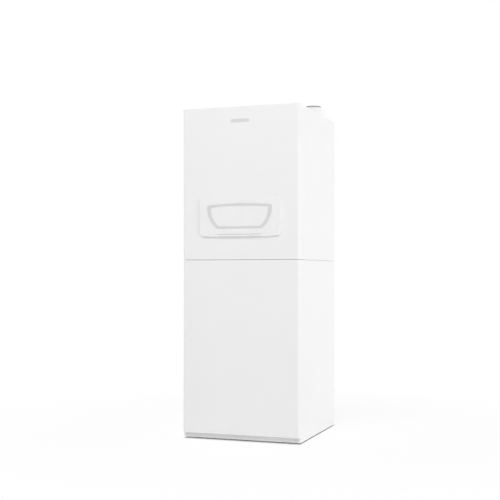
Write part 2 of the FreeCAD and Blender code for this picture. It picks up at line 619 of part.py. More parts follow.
LIP_TOP = f"({FLAP_LOW} + lip_rise)"
channel = rectangle(sketch_in(flap, "XZ_Plane", f"-{FACE} - flap_wall/2"), "-lip_width/2 - flap_wall",
                    f"{LIP_TOP} - flap_wall", "lip_width/2 + flap_wall",
                    f"{LIP_TOP} + groove_height + flap_wall")
pad(flap, channel, "groove_depth + flap_wall/2", flip=True)
groove = rectangle(sketch_in(flap, "XZ_Plane", f"-{FACE} + overrun"), "-lip_width/2", LIP_TOP,
                   "lip_width/2", f"{LIP_TOP} + groove_height")
pocket(flap, groove, "overrun + groove_depth")
lip = trace(sketch_in(flap, "YZ_Plane"),
            [(f"{FACE} + flap_wall/2", LIP_TOP), (FACE, LIP_TOP),
             (f"{FACE} - lip_out", f"{FLAP_LOW} + lip_foot"), (f"{FACE} - lip_out", FLAP_LOW),
             (f"{FACE} + flap_wall/2", FLAP_LOW)])
pad(flap, lip, "lip_width", both=True)

# Trim ring and centre plate on the flap, both let into one shallow seat

RING_LOW = f"({FLAP_LOW} + ring_rise)"
RING_HIGH = f"({RING_LOW} + ring_height)"
SEAT = f"({FACE} + ring_seat)"


def shield(sketch, low, high, low_half, top_half, side_bow, top_bow):
    """Outline with a straight foot, bowed sides that widen upwards and a crowned top."""
    chord = f"sqrt(({top_half} - {low_half})^2 + ({high} - {low})^2)"
    side = bow_radius(chord, side_bow)
    return trace(sketch, [(f"-({low_half})", low), (low_half, low), (top_half, high),
                          (f"-({top_half})", high)],
                 {1: side, 2: bow_radius(f"2*({top_half})", top_bow), 3: side})


def ring_outer(sketch, gap):
    return shield(sketch, f"{RING_LOW} - {gap}", f"{RING_HIGH} + {gap}", f"ring_low_width/2 + {gap}",
                  f"ring_top_width/2 + {gap}", "ring_side_bow", "ring_top_bow")


INNER_LOW = f"({RING_LOW} + ring_low_wall)"
INNER_HIGH = f"({RING_HIGH} - ring_top_wall)"


def ring_inner(sketch, gap):
    return shield(sketch, f"{INNER_LOW} + {gap}", f"{INNER_HIGH} - {gap}",
                  f"ring_low_width/2 - ring_low_side - {gap}",
                  f"ring_top_width/2 - ring_side_wall - {gap}", "inner_side_bow", "inner_top_bow")


def shield_corners(body, low, high, low_half, top_half):
    spots = [{"x": f"{sign}*({half})", "z": level} for sign in ("-1", "1")
             for half, level in ((low_half, low), (top_half, high))]
    soften(body, "ring_corner", along="y", spots=spots)


pocket(flap, ring_outer(sketch_in(flap, "XZ_Plane", f"-{FACE} + overrun"), "fit_gap"),
       "overrun + ring_seat")

ring = new_body("flap_trim_ring")
pad(ring, ring_outer(sketch_in(ring, "XZ_Plane", f"-{SEAT}"), "0"), "ring_seat + ring_proud")
shield_corners(ring, RING_LOW, RING_HIGH, "ring_low_width/2", "ring_top_width/2")
soften(ring, "ring_edge", y=f"{FACE} - ring_proud")
pocket(ring, ring_inner(sketch_in(ring, "XZ_Plane", f"-{SEAT} - overrun"), "0"),
       "ring_seat + ring_proud + 2*overrun", flip=True)

plate = new_body("flap_centre_plate")
pad(plate, ring_inner(sketch_in(plate, "XZ_Plane", f"-{SEAT}"), "fit_gap"), "ring_seat + plate_proud")
ledge = rectangle(sketch_in(plate, "XZ_Plane", f"-{FACE}"), "ring_low_side - ring_low_width/2 + fit_gap",
                  f"{INNER_LOW} + fit_gap", "ring_low_width/2 - ring_low_side - fit_gap",
                  f"{INNER_LOW} + ledge_rise")
pad(plate, ledge, "plate_proud + ledge_proud")

# Flap hinge: lugs clipped through the front panel, and their pins

lugs = []
pegs = []
for sign in ("-1", "1"):
    middle = f"{sign}*bracket_x"
    ear = rod("ear", f"{middle} - bracket_width/2", HINGE_Y, HINGE_Z, "ear_radius", "bracket_width", "x")
    neck = box("neck", f"{middle} - bracket_width/2", HINGE_Y, f"{HINGE_Z} - ear_radius",
               "bracket_width", f"hinge_radius + flap_rest", "2*ear_radius")
    tail = box("tail", f"{middle} - tail_width/2", FRONT, f"{HINGE_Z} - tail_height/2", "tail_width",
               "skin + fit_gap + tail_wall", "tail_height")
    clip = box("clip", f"{middle} - tail_flange/2", f"{FRONT} + skin + fit_gap",
               f"{HINGE_Z} - tail_height", "tail_flange", "tail_wall", "2*tail_height")
    bore = rod("bore", f"{middle} - bracket_width/2 - overrun", HINGE_Y, HINGE_Z, "pin_radius + run_gap",
               "bracket_width + 2*overrun", "x")
    lugs.append(cut("lug", fuse("lug_block", [ear, neck, tail, clip]), bore))
    pegs.append(rod("peg", f"{middle} - pin_length/2", HINGE_Y, HINGE_Z, "pin_radius", "pin_length", "x"))
keep("flap_hinge_lugs", group("flap_hinge_lugs", lugs))
keep("flap_hinge_pins", group("flap_hinge_pins", pegs))

# Control box and fascia

BOX_X = "(cutout_width/2 + fascia_margin)"
BOX_LOW = f"({CUT_LOW} - fascia_margin)"
BOX_HIGH = f"({CUT_HIGH} + fascia_margin)"
RIM_FRONT = f"({FRONT} + skin + fit_gap)"
DIAL = f"({FRONT} + fascia_setback)"
DIAL_BACK = f"({DIAL} + fascia_wall)"
BOX_FRONT = f"({DIAL_BACK} + fit_gap)"
WING_X = f"({POST_X} - post_wall - fit_gap)"
WING_Y = f"({POST_FRONT} + post_wall + fit_gap)"
box_corners = [(f"-{BOX_X}", BOX_LOW), (BOX_X, BOX_LOW), (BOX_X, BOX_HIGH), (f"-{BOX_X}", BOX_HIGH)]
control = prism("control_box", "XZ_Plane", f"-{BOX_FRONT}", box_corners, "box_depth", flip=True)
hollow(control, "y", BOX_FRONT, "box_wall")
wings = sketch_in(control, "XZ_Plane", f"-{WING_Y}")
rectangle(wings, f"-{WING_X}", f"{CONSOLE_Z} - wing_height/2", f"box_wall/2 - {BOX_X}",
          f"{CONSOLE_Z} + wing_height/2")
rectangle(wings, f"{BOX_X} - box_wall/2", f"{CONSOLE_Z} - wing_height/2", WING_X,
          f"{CONSOLE_Z} + wing_height/2")
pad(control, wings, "wing_wall", flip=True)

KEY_Z = f"({CONSOLE_Z} - key_drop)"
SCREEN_Z = f"({CONSOLE_Z} + screen_z)"
KEYS = {"button_minus": "key_x", "button_plus": "key_x + key_pitch", "button_reset": "key_x + 2*key_pitch"}
KNOBS = {"heating_knob": "knob_x", "hot_water_knob": "knob_x + knob_pitch"}
bezel = prism("bezel", "XZ_Plane", f"-{RIM_FRONT}", box_corners, f"{DIAL} - run_gap - {RIM_FRONT}", flip=True,
              kept=False)
inside = rectangle(sketch_in(bezel, "XZ_Plane", f"-{RIM_FRONT} + overrun"), f"rim_wall - {BOX_X}",
                   f"{BOX_LOW} + rim_wall", f"{BOX_X} - rim_wall", f"{BOX_HIGH} - rim_wall")
pocket(bezel, inside, f"{DIAL} - {RIM_FRONT} + 2*overrun")
fascia = prism("dial_plate", "XZ_Plane", f"-{DIAL}", box_corners, "fascia_wall", flip=True, kept=False)
ports = sketch_in(fascia, "XZ_Plane", f"-{DIAL} + overrun")
circle(ports, "gauge_x", CONSOLE_Z, "gauge_radius + fit_gap")
for x in KNOBS.values():
    circle(ports, x, CONSOLE_Z, "knob_shaft + run_gap")
for x in KEYS.values():
    circle(ports, x, KEY_Z, "key_radius + fit_gap")
rectangle(ports, "screen_x - screen_width/2 - fit_gap", f"{SCREEN_Z} - screen_height/2 - fit_gap",
          "screen_x + screen_width/2 + fit_gap", f"{SCREEN_Z} + screen_height/2 + fit_gap")
rectangle(ports, "rocker_x - rocker_width/2 - rocker_gap", f"{CONSOLE_Z} - rocker_height/2 - rocker_gap",
          "rocker_x + rocker_width/2 + rocker_gap", f"{CONSOLE_Z} + rocker_height/2 + rocker_gap")
pocket(fascia, ports, "fascia_wall + 2*overrun")
keep("control_fascia", group("control_fascia", [fascia, bezel]))

# Display module, knobs, keys and rocker

screen = prism("display_screen", "XZ_Plane", f"-{DIAL} + screen_proud",
               [(f"screen_x {a} screen_width/2", f"{SCREEN_Z} {b} screen_height/2")
                for a, b in (("-", "-"), ("+", "-"), ("+", "+"), ("-", "+"))], "screen_depth", flip=True)
soften(screen, "screen_edge", y=f"{DIAL} - screen_proud")

for label, x in KNOBS.items():
    knob = turned(label, [("0", "-knob_tail"), ("knob_shaft", "-knob_tail"), ("knob_shaft", "knob_gap"),
                          ("knob_radius", "knob_gap"), ("knob_radius", "flute_foot"),
                          ("knob_top", "knob_height"), ("0", "knob_height")], towards="front")
    flute = circle(sketch_in(knob, "XY_Plane", "flute_foot"), "knob_radius + flute_inset", "0",
                   "flute_radius + flute_inset")
    flutes = repeat(knob, pocket(knob, flute, "knob_height", flip=True), (flute, ["N_Axis"]), "flute_count")
    mark = rectangle(sketch_in(knob, "XY_Plane", "knob_height - pointer_depth"), "-pointer_width/2",
                     "knob_top/3", "pointer_width/2", "knob_radius")
    pocket(knob, mark, "pointer_depth + overrun", flip=True)
    place(knob, x, DIAL, CONSOLE_Z)

for label, x in KEYS.items():
    key = turned(label, [("0", "-fascia_wall - fit_gap - key_flange_wall"),
                         ("key_radius + key_flange", "-fascia_wall - fit_gap - key_flange_wall"),
                         ("key_radius + key_flange", "-fascia_wall - fit_gap"),
                         ("key_radius", "-fascia_wall - fit_gap"), ("key_radius", "key_proud - key_edge"),
                         ("key_radius - key_edge", "key_proud"), ("0", "key_proud")], towards="front")
    place(key, x, DIAL, KEY_Z)

rocker = prism("power_rocker", "YZ_Plane", "0",
               [("rocker_root", "-rocker_height/4"), ("rocker_root", "rocker_height/4"),
                ("0", "rocker_height/2"), ("-rocker_rise", "rocker_height/2"),
                ("rocker_dip - rocker_rise", "0"), ("-rocker_rise", "-rocker_height/2"),
                ("0", "-rocker_height/2")], "rocker_width", both=True)
rocker.Placement = Placement(Vector(), Rotation(Vector(1, 0, 0), number("rocker_angle")))
place(rocker, "rocker_x", DIAL, CONSOLE_Z)

# Pressure gauge

gauge = turned("gauge_body", [("needle_pin + run_gap", "-gauge_depth"), ("gauge_radius", "-gauge_depth"),
                              ("gauge_radius", "gauge_proud"), ("gauge_radius - gauge_rim", "gauge_proud"),
                              ("gauge_radius - gauge_rim", "gauge_proud - dial_depth"),
                              ("needle_pin + run_gap", "gauge_proud - dial_depth")], towards="front")
place(gauge, "gauge_x", DIAL, CONSOLE_Z)
lens = turned("gauge_lens", [("0", "-lens_wall"), ("gauge_radius - gauge_rim - run_gap", "-lens_wall"),
                             ("gauge_radius - gauge_rim - run_gap", "0"), ("0", "0")], towards="front")
place(lens, "gauge_x", f"{DIAL} - gauge_proud + lens_seat", CONSOLE_Z)
DIAL_FACE = "(gauge_proud - dial_depth)"
needle = turned("gauge_needle", [("0", f"{DIAL_FACE} - needle_hub"),
                                 ("needle_pin", f"{DIAL_FACE} - needle_hub"),
                                 ("needle_pin", f"{DIAL_FACE} + needle_lift"),
                                 ("needle_hub", f"{DIAL_FACE} + needle_lift"),
                                 ("needle_hub", f"{DIAL_FACE} + needle_lift + 2*needle_wall"),
                                 ("0", f"{DIAL_FACE} + needle_lift + 2*needle_wall")], towards="front")
blade = trace(sketch_in(needle, "XY_Plane", f"{DIAL_FACE} + needle_lift"),
              [("-needle_width/2", "-needle_tail"), ("needle_width/2", "-needle_tail"),
               ("needle_width/4", "needle_length"), ("-needle_width/4", "needle_length")])
pad(needle, blade, "needle_wall")
needle.Placement = Placement(Vector(), TOWARDS["front"] * Rotation(Vector(0, 0, 1), number("needle_angle")))
place(needle, "gauge_x", DIAL, CONSOLE_Z)

# Heat exchanger: ribbed casting with the combustion chamber through it

CORE_LOW = f"({DECK} + core_rise)"
CORE_HIGH = f"({CORE_LOW} + core_height)"
CORE_BACK = "(core_front + core_depth)"


def core_rectangle(sketch, grow):
    return rectangle(sketch, f"{CORE_LEFT} - {grow}", f"core_front - {grow}", f"{CORE_RIGHT} + {grow}",
                     f"{CORE_BACK} + {grow}")


core = new_body("heat_exchanger")
pad(core, core_rectangle(sketch_in(core, "XY_Plane", CORE_LOW), "0"), "core_height")
for level in (CORE_LOW, f"{CORE_HIGH} - core_flange"):
    pad(core, core_rectangle(sketch_in(core, "XY_Plane", level), "core_flange_out"), "core_flange")
rib = rectangle(sketch_in(core, "XZ_Plane", "-core_front"), f"{CORE_LEFT} + rib_inset",
                f"{CORE_LOW} + core_flange/2", f"{CORE_LEFT} + rib_inset + rib_wall",
                f"{CORE_HIGH} - core_flange/2")
one_rib = pad(core, rib, "rib_depth")
row = core.newObject("PartDesign::LinearPattern", "row")
row.Originals = [one_rib]
row.Direction = (rib, ["H_Axis"])
bind(row, Length=f"{CORE_WIDTH} - 2*rib_inset - rib_wall", Occurrences="rib_count")
core.Tip = row
chamber = core_rectangle(sketch_in(core, "XY_Plane", f"{CORE_LOW} - overrun"), "-core_wall")
pocket(core, chamber, "core_height + 2*overrun", flip=True)

HOOD_LOW = f"({CORE_HIGH} + fit_gap)"
HOOD_HIGH = f"({HOOD_LOW} + hood_height)"
hood = new_body("burner_hood")
pad(hood, core_rectangle(sketch_in(hood, "XY_Plane", HOOD_LOW), "core_flange_out"), "hood_flange")
pad(hood, core_rectangle(sketch_in(hood, "XY_Plane", HOOD_LOW), "-hood_inset"), "hood_height")
soften(hood, "hood_round", spots=[{"z": HOOD_HIGH}])

# Fan: volute, impeller, motor

FAN_Z = f"({HOOD_HIGH} + fit_gap + fan_drop)"
FAN_FRONT = "(fan_y - fan_depth/2)"


def volute_outline(sketch, wall, drop):
    """Round scroll with a straight outlet down its left side."""
    radius = f"(fan_radius - {wall})"
    inset = "(fan_radius - duct_width)"
    right = f"(-{inset} - {wall})"
    low = f"sqrt({radius}^2 - {right}^2)"
    spots = [(f"-{radius}", f"-({drop})"), (right, f"-({drop})"), (right, f"-{low}"), (radius, "0"),
             ("0", radius), (f"-{radius}", "0")]
    corners = [(f"fan_x + {x}", f"{FAN_Z} + {z}") for x, z in spots]
    return trace(sketch, corners, {2: radius, 3: radius, 4: radius})


volute = new_body("fan_volute")
pad(volute, volute_outline(sketch_in(volute, "XZ_Plane", f"-{FAN_FRONT}"), "0", "fan_drop"), "fan_depth",
    flip=True)
scroll = volute_outline(sketch_in(volute, "XZ_Plane", f"-{FAN_FRONT} + overrun"), "fan_wall",
                        "fan_drop + overrun")
pocket(volute, scroll, "overrun + fan_depth - fan_wall")
hub_hole = circle(sketch_in(volute, "XZ_Plane", f"-{FAN_FRONT}"), "fan_x", FAN_Z, "shaft_radius + shaft_gap")
pocket(volute, hub_hole, "fan_depth + overrun")

MOTOR_Y = "(fan_y + fan_depth/2 + fit_gap)"
motor = turned("fan_motor", [("0", "-fan_wall - fit_gap - wheel_lift - wheel_hub"),
                             ("shaft_radius", "-fan_wall - fit_gap - wheel_lift - wheel_hub"),
                             ("shaft_radius", "0"), ("motor_radius + motor_step", "0"),
                             ("motor_radius + motor_step", "motor_flange"), ("motor_radius", "motor_flange"),
                             ("motor_radius", "motor_length - motor_step"),
                             ("motor_radius - motor_step", "motor_length"), ("0", "motor_length")],
               towards="rear")
place(motor, "fan_x", MOTOR_Y, FAN_Z)

wheel = turned("fan_impeller", [("shaft_radius + run_gap", "0"), ("wheel_radius", "0"),
                                ("wheel_radius", "wheel_disc"), ("wheel_hub", "wheel_disc"),
                                ("wheel_hub", "wheel_hub"), ("shaft_radius + run_gap", "wheel_hub")],
               towards="front")
TIP_X = "sqrt((wheel_radius - blade_wall)^2 - (blade_sweep + blade_wall/2)^2)"
VANE_BOW = bow_radius(f"sqrt(({TIP_X} - blade_inner)^2 + blade_sweep^2)", "blade_bow")
vane = trace(sketch_in(wheel, "XY_Plane", "wheel_disc/2"),
             [("blade_inner", "-blade_wall/2"), (TIP_X, "-blade_sweep - blade_wall/2"),
              (TIP_X, "blade_wall/2 - blade_sweep"), ("blade_inner", "blade_wall/2")],
             {2: VANE_BOW}, {0: VANE_BOW})
repeat(wheel, pad(wheel, vane, "wheel_disc/2 + blade_depth"), (vane, ["N_Axis"]), "blade_count")
place(wheel, "fan_x", "fan_y + fan_depth/2 - fan_wall - wheel_lift", FAN_Z)

# Venturi on the fan's inlet, gas valve beside it and the air silencer ahead of it

BELL_Y = f"({FAN_FRONT} - fit_gap)"
bell = turned("venturi", [("bell_radius - bell_wall", "0"), ("fan_radius", "0"),
                          ("fan_radius", "bell_flange"),
                          ("bell_radius", "bell_flange"), ("bell_radius", "bell_flange + bell_length"),
                          ("bell_radius - bell_wall", "bell_flange + bell_length"),
                          ("bell_throat", "bell_flange + bell_length/2")], towards="front")
place(bell, "fan_x", BELL_Y, FAN_Z)

VALVE_X = "(fan_x + bell_radius + valve_gap)"
VALVE_Y = f"({BELL_Y} - bell_flange - bell_length/2)"
valve = new_body("gas_valve")
pad(valve, rectangle(sketch_in(valve, "XY_Plane", f"{FAN_Z} - valve_height/2"), VALVE_X,
                     f"{VALVE_Y} - valve_depth/2", f"{VALVE_X} + valve_width", f"{VALVE_Y} + valve_depth/2"),
    "valve_height")
soften(valve, "valve_edge", along="z")
coils = sketch_in(valve, "XY_Plane", f"{FAN_Z} + valve_height/2 - overrun")
circle(coils, f"{VALVE_X} + valve_width/2", f"{VALVE_Y} - valve_depth/2 + coil_inset", "coil_radius")
circle(coils, f"{VALVE_X} + valve_width/2", f"{VALVE_Y} + valve_depth/2 - coil_inset + run_gap",
       "coil_radius/2")
pad(valve, coils, "coil_height + overrun")
outlet = circle(sketch_in(valve, "YZ_Plane", "fan_x + bell_radius + fit_gap"), VALVE_Y, FAN_Z, "gas_tube")
pad(valve, outlet, "valve_gap + overrun")

INTAKE_Y = f"({BELL_Y} - bell_flange - bell_length - fit_gap)"
intake = [("fan_x", INTAKE_Y, FAN_Z), ("fan_x", f"{INTAKE_Y} - silencer_run", FAN_Z),
          ("fan_x - silencer_length", f"{INTAKE_Y} - silencer_run", FAN_Z)]
tube = bent_rod(intake, "silencer_radius", "silencer_bend")
tube = tube.cut(bent_rod(intake, "silencer_radius - silencer_wall", "silencer_bend"))
keep("air_silencer", shaped("air_silencer", tube))

# Ignition electrode through the hood's front edge

ROD_X = f"({CORE_LEFT} + electrode_inset)"
ROD_Y = "(core_front - core_flange_out - fit_gap)"
ROD_Z = f"({CORE_HIGH} - core_flange/2)"
ceramic = rod("ceramic", ROD_X, ROD_Y, ROD_Z, "electrode_radius", "electrode_length", "front")
seat = box("seat", f"{ROD_X} - electrode_plate", f"{ROD_Y} - electrode_wall", f"{ROD_Z} - electrode_plate",
           "2*electrode_plate", "electrode_wall", "2*electrode_plate")
tip = rod("tip", ROD_X, f"{ROD_Y} - electrode_length", ROD_Z, "electrode_tip", "electrode_cap", "front")
keep("ignition_electrode", fuse("ignition_electrode", [ceramic, seat, tip]))

# Condensate sump with the flue socket on its rear right arm, trap and drain

SUMP_HIGH = f"({CORE_LOW} - fit_gap)"
SUMP_LOW = f"({SUMP_HIGH} - sump_height)"
sump = prism("condensate_sump", "XY_Plane", SUMP_LOW,
             [(CORE_LEFT, "core_front"), (CORE_RIGHT, "core_front"), (CORE_RIGHT, f"{CORE_BACK} - sump_arm"),
              (FLUE_X, f"{FLUE_Y} - socket_radius"), (FLUE_X, f"{FLUE_Y} + socket_radius"),
              (f"{CORE_RIGHT} - sump_arm", CORE_BACK), (CORE_LEFT, CORE_BACK)],
             "sump_height")
boss = circle(sketch_in(sump, "XY_Plane", SUMP_LOW), FLUE_X, FLUE_Y, "socket_radius")
pad(sump, boss, "sump_height + socket_rise")
FLUE_LOW = f"({SUMP_HIGH} + socket_rise - flue_insert)"
bore = circle(sketch_in(sump, "XY_Plane", FLUE_LOW), FLUE_X, FLUE_Y, "flue_bore + flue_wall + run_gap")
pocket(sump, bore, "flue_insert + overrun", flip=True)

trap = turned("condensate_trap", [("0", "-trap_height"), ("trap_radius", "-trap_height"),
                                  ("trap_radius", "-trap_cap_height"), ("trap_cap", "-trap_cap_height"),
                                  ("trap_cap", "-fit_gap"), ("0", "-fit_gap")])
DRAIN_Z = f"({DECK} + drain_rise)"
waste = circle(sketch_in(trap, "XZ_Plane"), "0", f"{DRAIN_Z} - {SUMP_LOW}", "drain_radius")
pad(trap, waste, f"{BACK} - trap_y + overrun", flip=True)
barb = circle(sketch_in(trap, "XZ_Plane", f"trap_y - {BACK}"), "0", f"{DRAIN_Z} - {SUMP_LOW}", "drain_spigot")
pad(trap, barb, "stub", flip=True)
place(trap, "core_x", "trap_y", SUMP_LOW)

# Flue duct with a socket at its top, its seal, and the air collar on the cover

FLUE_TOP = "(case_height + flue_stand)"
SOCKET_LOW = f"({FLUE_TOP} - socket_depth)"
duct = turned("flue_duct", [("flue_bore", FLUE_LOW), ("flue_bore + flue_wall", FLUE_LOW),
                            ("flue_bore + flue_wall", f"{SOCKET_LOW} - socket_flare"),
                            ("socket_bore + flue_wall", SOCKET_LOW), ("socket_bore + flue_wall", FLUE_TOP),
                            ("socket_bore", FLUE_TOP), ("socket_bore", SOCKET_LOW),
                            ("flue_bore", f"{SOCKET_LOW} - socket_flare")])
place(duct, FLUE_X, FLUE_Y)
SEAL_LOW = f"({FLUE_TOP} + run_gap)"
seal = turned("flue_seal", [("socket_bore + seal_gap", SEAL_LOW),
                            ("socket_bore + flue_wall + seal_gap", SEAL_LOW),
                            ("socket_bore + flue_wall + seal_gap", f"{SEAL_LOW} + seal_height"),
                            ("socket_bore + seal_gap", f"{SEAL_LOW} + seal_height")])
place(seal, FLUE_X, FLUE_Y)
COLLAR_LOW = "(case_height + run_gap)"
collar = turned("flue_collar", [("collar_bore", COLLAR_LOW),
                                ("collar_bore + collar_wall + collar_flange", COLLAR_LOW),
                                ("collar_bore + collar_wall + collar_flange", f"{COLLAR_LOW} + collar_foot"),
                                ("collar_bore + collar_wall", f"{COLLAR_LOW} + collar_foot"),
                                ("collar_bore + collar_wall", f"{COLLAR_LOW} + collar_stand"),
                                ("collar_bore", f"{COLLAR_LOW} + collar_stand")])
place(collar, FLUE_X, FLUE_Y)

# Circulation pump on the return line, with its motor to the front

pump = turned("pump_volute", [("0", "0"), ("head_face", "0"), ("pump_radius", "head_step"),
                              ("pump_radius", "pump_depth"), ("port_radius", "pump_depth"),
                              ("port_radius", "pump_depth + port_length"), ("0", "pump_depth + port_length")],
              towards="rear")
place(pump, RETURN_X, "pump_y", PIPE_Z)
spigot = circle(sketch_in(pump, "XZ_Plane"), "0", "pump_depth/2", "port_radius")
pad(pump, spigot, "pump_radius + port_length")
head = turned("pump_motor", [("0", "fit_gap"), ("head_radius + head_flange", "fit_gap"),
                             ("head_radius + head_flange", "fit_gap + head_flange"),
                             ("head_radius", "fit_gap + head_flange"),
                             ("head_radius", "head_length - head_step"),
                             ("head_radius - head_step", "head_length"), ("0", "head_length")],
              towards="front")
place(head, RETURN_X, "pump_y", PIPE_Z)

# Pipes: return and feed, flow and diverter, gas, cold and hot water, tank coil

PUMP_BACK = "(pump_y + pump_depth + port_length + fit_gap)"
FOAM_TOP = f"({DECK} - tank_head)"
FOOT_OF_PIPE = f"({FOAM_TOP} + fit_gap)"


def with_spigot(solid, x):
    """The pipe with a bored spigot at the rear of the casing."""
    spigot = bar_shape((x, BACK, PIPE_Z), Vector(0, 1, 0), "spigot_radius", "stub")
    bore = bar_shape((x, STUB_Y, PIPE_Z), Vector(0, -1, 0), "pipe_bore", "2*stub")
    return solid.fuse([spigot]).removeSplitter().cut(bore)


PIPE_END = f"({BACK} + stub/2)"
RELIEF_Y = f"({VESSEL_Y} - relief_back)"
line = bar_shape((RETURN_X, PUMP_BACK, PIPE_Z), Vector(0, 1, 0), "pipe_radius", f"{PIPE_END} - {PUMP_BACK}")
branch = bar_shape((RETURN_X, "coil_out_y", FOOT_OF_PIPE), Vector(0, 0, 1), "pipe_radius",
                   f"{PIPE_Z} - {FOOT_OF_PIPE}")
tee = bar_shape((RETURN_X, "coil_out_y - tee_length/2", PIPE_Z), Vector(0, 1, 0), "tee_radius", "tee_length")
saddle = bar_shape((RETURN_X, RELIEF_Y, PIPE_Z), Vector(0, 0, 1), "relief_radius", "tee_radius")
return_line = with_spigot(line.fuse([branch, tee, saddle]), RETURN_X)

PUMP_TOP = f"({PIPE_Z} + pump_radius + port_length + fit_gap)"
PUMP_MID = "(pump_y + pump_depth/2)"
FEED_Z = f"({CORE_LOW} + feed_rise)"
CORE_WALL = f"({CORE_LEFT} - fit_gap)"
feed_line = bent_rod([(RETURN_X, PUMP_MID, PUMP_TOP), (RETURN_X, PUMP_MID, FEED_Z),
                      (RETURN_X, "feed_y", FEED_Z), (CORE_WALL, "feed_y", FEED_Z)],
                     "pipe_radius", "pipe_bend")

OUTLET_Z = f"({CORE_HIGH} - rise_inset)"
VALVE_TOP = f"({PIPE_Z} + valve_body/2 + fit_gap)"
flow_line = bent_rod([(CORE_WALL, "outlet_y", OUTLET_Z), (FLOW_X, "outlet_y", OUTLET_Z),
                      (FLOW_X, "outlet_y", VALVE_TOP)], "pipe_radius", "pipe_bend")

barrel_rod = rod("barrel", FLOW_X, "outlet_y", f"{PIPE_Z} - valve_body/2", "valve_radius", "valve_body")
arm = rod("arm", FLOW_X, "outlet_y", PIPE_Z, "port_radius", "valve_body/2 + port_length", "rear")
neck = rod("neck", FLOW_X, "outlet_y", PIPE_Z, "port_radius", "valve_body/2", "front")
three_way = fuse("three_way", [barrel_rod, arm, neck])
ACT_Y = "(outlet_y - valve_body/2 - fit_gap)"
actuator = prism("actuator", "XZ_Plane", f"-{ACT_Y}",
                 [(f"{FLOW_X} {a} act_width/2", f"{PIPE_Z} {b} act_height/2")
                  for a, b in (("-", "-"), ("+", "-"), ("+", "+"), ("-", "+"))], "act_depth", kept=False)
soften(actuator, "act_edge", y=f"{ACT_Y} - act_depth")
keep("diverter_valve", group("diverter_valve", [three_way, actuator]))

HEAT_Y = "(outlet_y + valve_body/2 + port_length + fit_gap)"
heat = bar_shape((FLOW_X, HEAT_Y, PIPE_Z), Vector(0, 1, 0), "pipe_radius", f"{PIPE_END} - {HEAT_Y}")
heat_line = with_spigot(heat, FLOW_X)

VALVE_LOW = f"({PIPE_Z} - valve_body/2 - fit_gap)"
CROSS_Z = f"({FOAM_TOP} + feed_drop)"
coil_feed = bent_rod([(FLOW_X, "outlet_y", VALVE_LOW), (FLOW_X, "outlet_y", CROSS_Z),
                      (COIL_IN_X, "outlet_y", CROSS_Z), (COIL_IN_X, "outlet_y", FOOT_OF_PIPE)],
                     "pipe_radius", "pipe_bend")
supplies = []
for x in ("-water_x", "water_x"):
    run = bent_rod([(x, PIPE_END, PIPE_Z), (x, "nipple_y", PIPE_Z), (x, "nipple_y", FOOT_OF_PIPE)],
                   "pipe_radius", "pipe_bend")
    supplies.append(shaped("water_pipe", with_spigot(run, x)))

GAS_RISE_Y = f"({FLUE_Y} + socket_radius + pipe_radius + hole_gap)"
VALVE_BACK = f"({VALVE_Y} + valve_depth/2 + fit_gap)"
gas = bent_rod([(GAS_X, PIPE_END, PIPE_Z), (GAS_X, GAS_RISE_Y, PIPE_Z), (GAS_X, GAS_RISE_Y, FAN_Z),
                (GAS_X, VALVE_BACK, FAN_Z)], "pipe_radius", "pipe_bend")
supplies.append(shaped("gas_pipe", with_spigot(gas, GAS_X)))
keep("supply_pipes", group("supply_pipes", supplies))

# Safety valve on the return line, automatic air vent on the flow line

RELIEF_Z = f"({PIPE_Z} + tee_radius + fit_gap)"
relief = turned("safety_valve", [("0", "0"), ("relief_radius", "0"), ("relief_radius", "relief_height/2"),
                                 ("relief_radius - relief_stem/2", "relief_height"),
                                 ("relief_stem", "relief_height"),
                                 ("relief_stem", "relief_height + relief_knob_height/2"),
                                 ("0", "relief_height + relief_knob_height/2")])
place(relief, RETURN_X, RELIEF_Y, RELIEF_Z)
twist = turned("safety_valve_knob", [("relief_stem + run_gap", "fit_gap"), ("relief_knob", "fit_gap"),
                                     ("relief_knob - run_gap", "relief_knob_height"),
                                     ("0", "relief_knob_height"),
                                     ("0", "relief_knob_height/2 + fit_gap"),
                                     ("relief_stem + run_gap", "relief_knob_height/2 + fit_gap")])
lobe = circle(sketch_in(twist, "XY_Plane", "fit_gap"), "relief_knob", "0", "relief_knob/4")
repeat(twist, pocket(twist, lobe, "relief_knob_height", flip=True), (lobe, ["N_Axis"]), "relief_lobe_count")
place(twist, RETURN_X, RELIEF_Y, f"{RELIEF_Z} + relief_height")

bleed = turned("air_vent", [("0", "0"), ("bleed_cap", "0"), ("bleed_cap", "bleed_cap_height"),
                            ("bleed_radius", "bleed_cap_height"), ("bleed_radius", "bleed_height"),
                            ("bleed_cap", "bleed_height"), ("bleed_cap", "bleed_height + bleed_cap_height"),
                            ("0", "bleed_height + bleed_cap_height")], kept=False)
place(bleed, f"{FLOW_X} + vent_step", "outlet_y", f"{OUTLET_Z} + pipe_radius + fit_gap")

# Expansion vessel on a bracket from the back panel

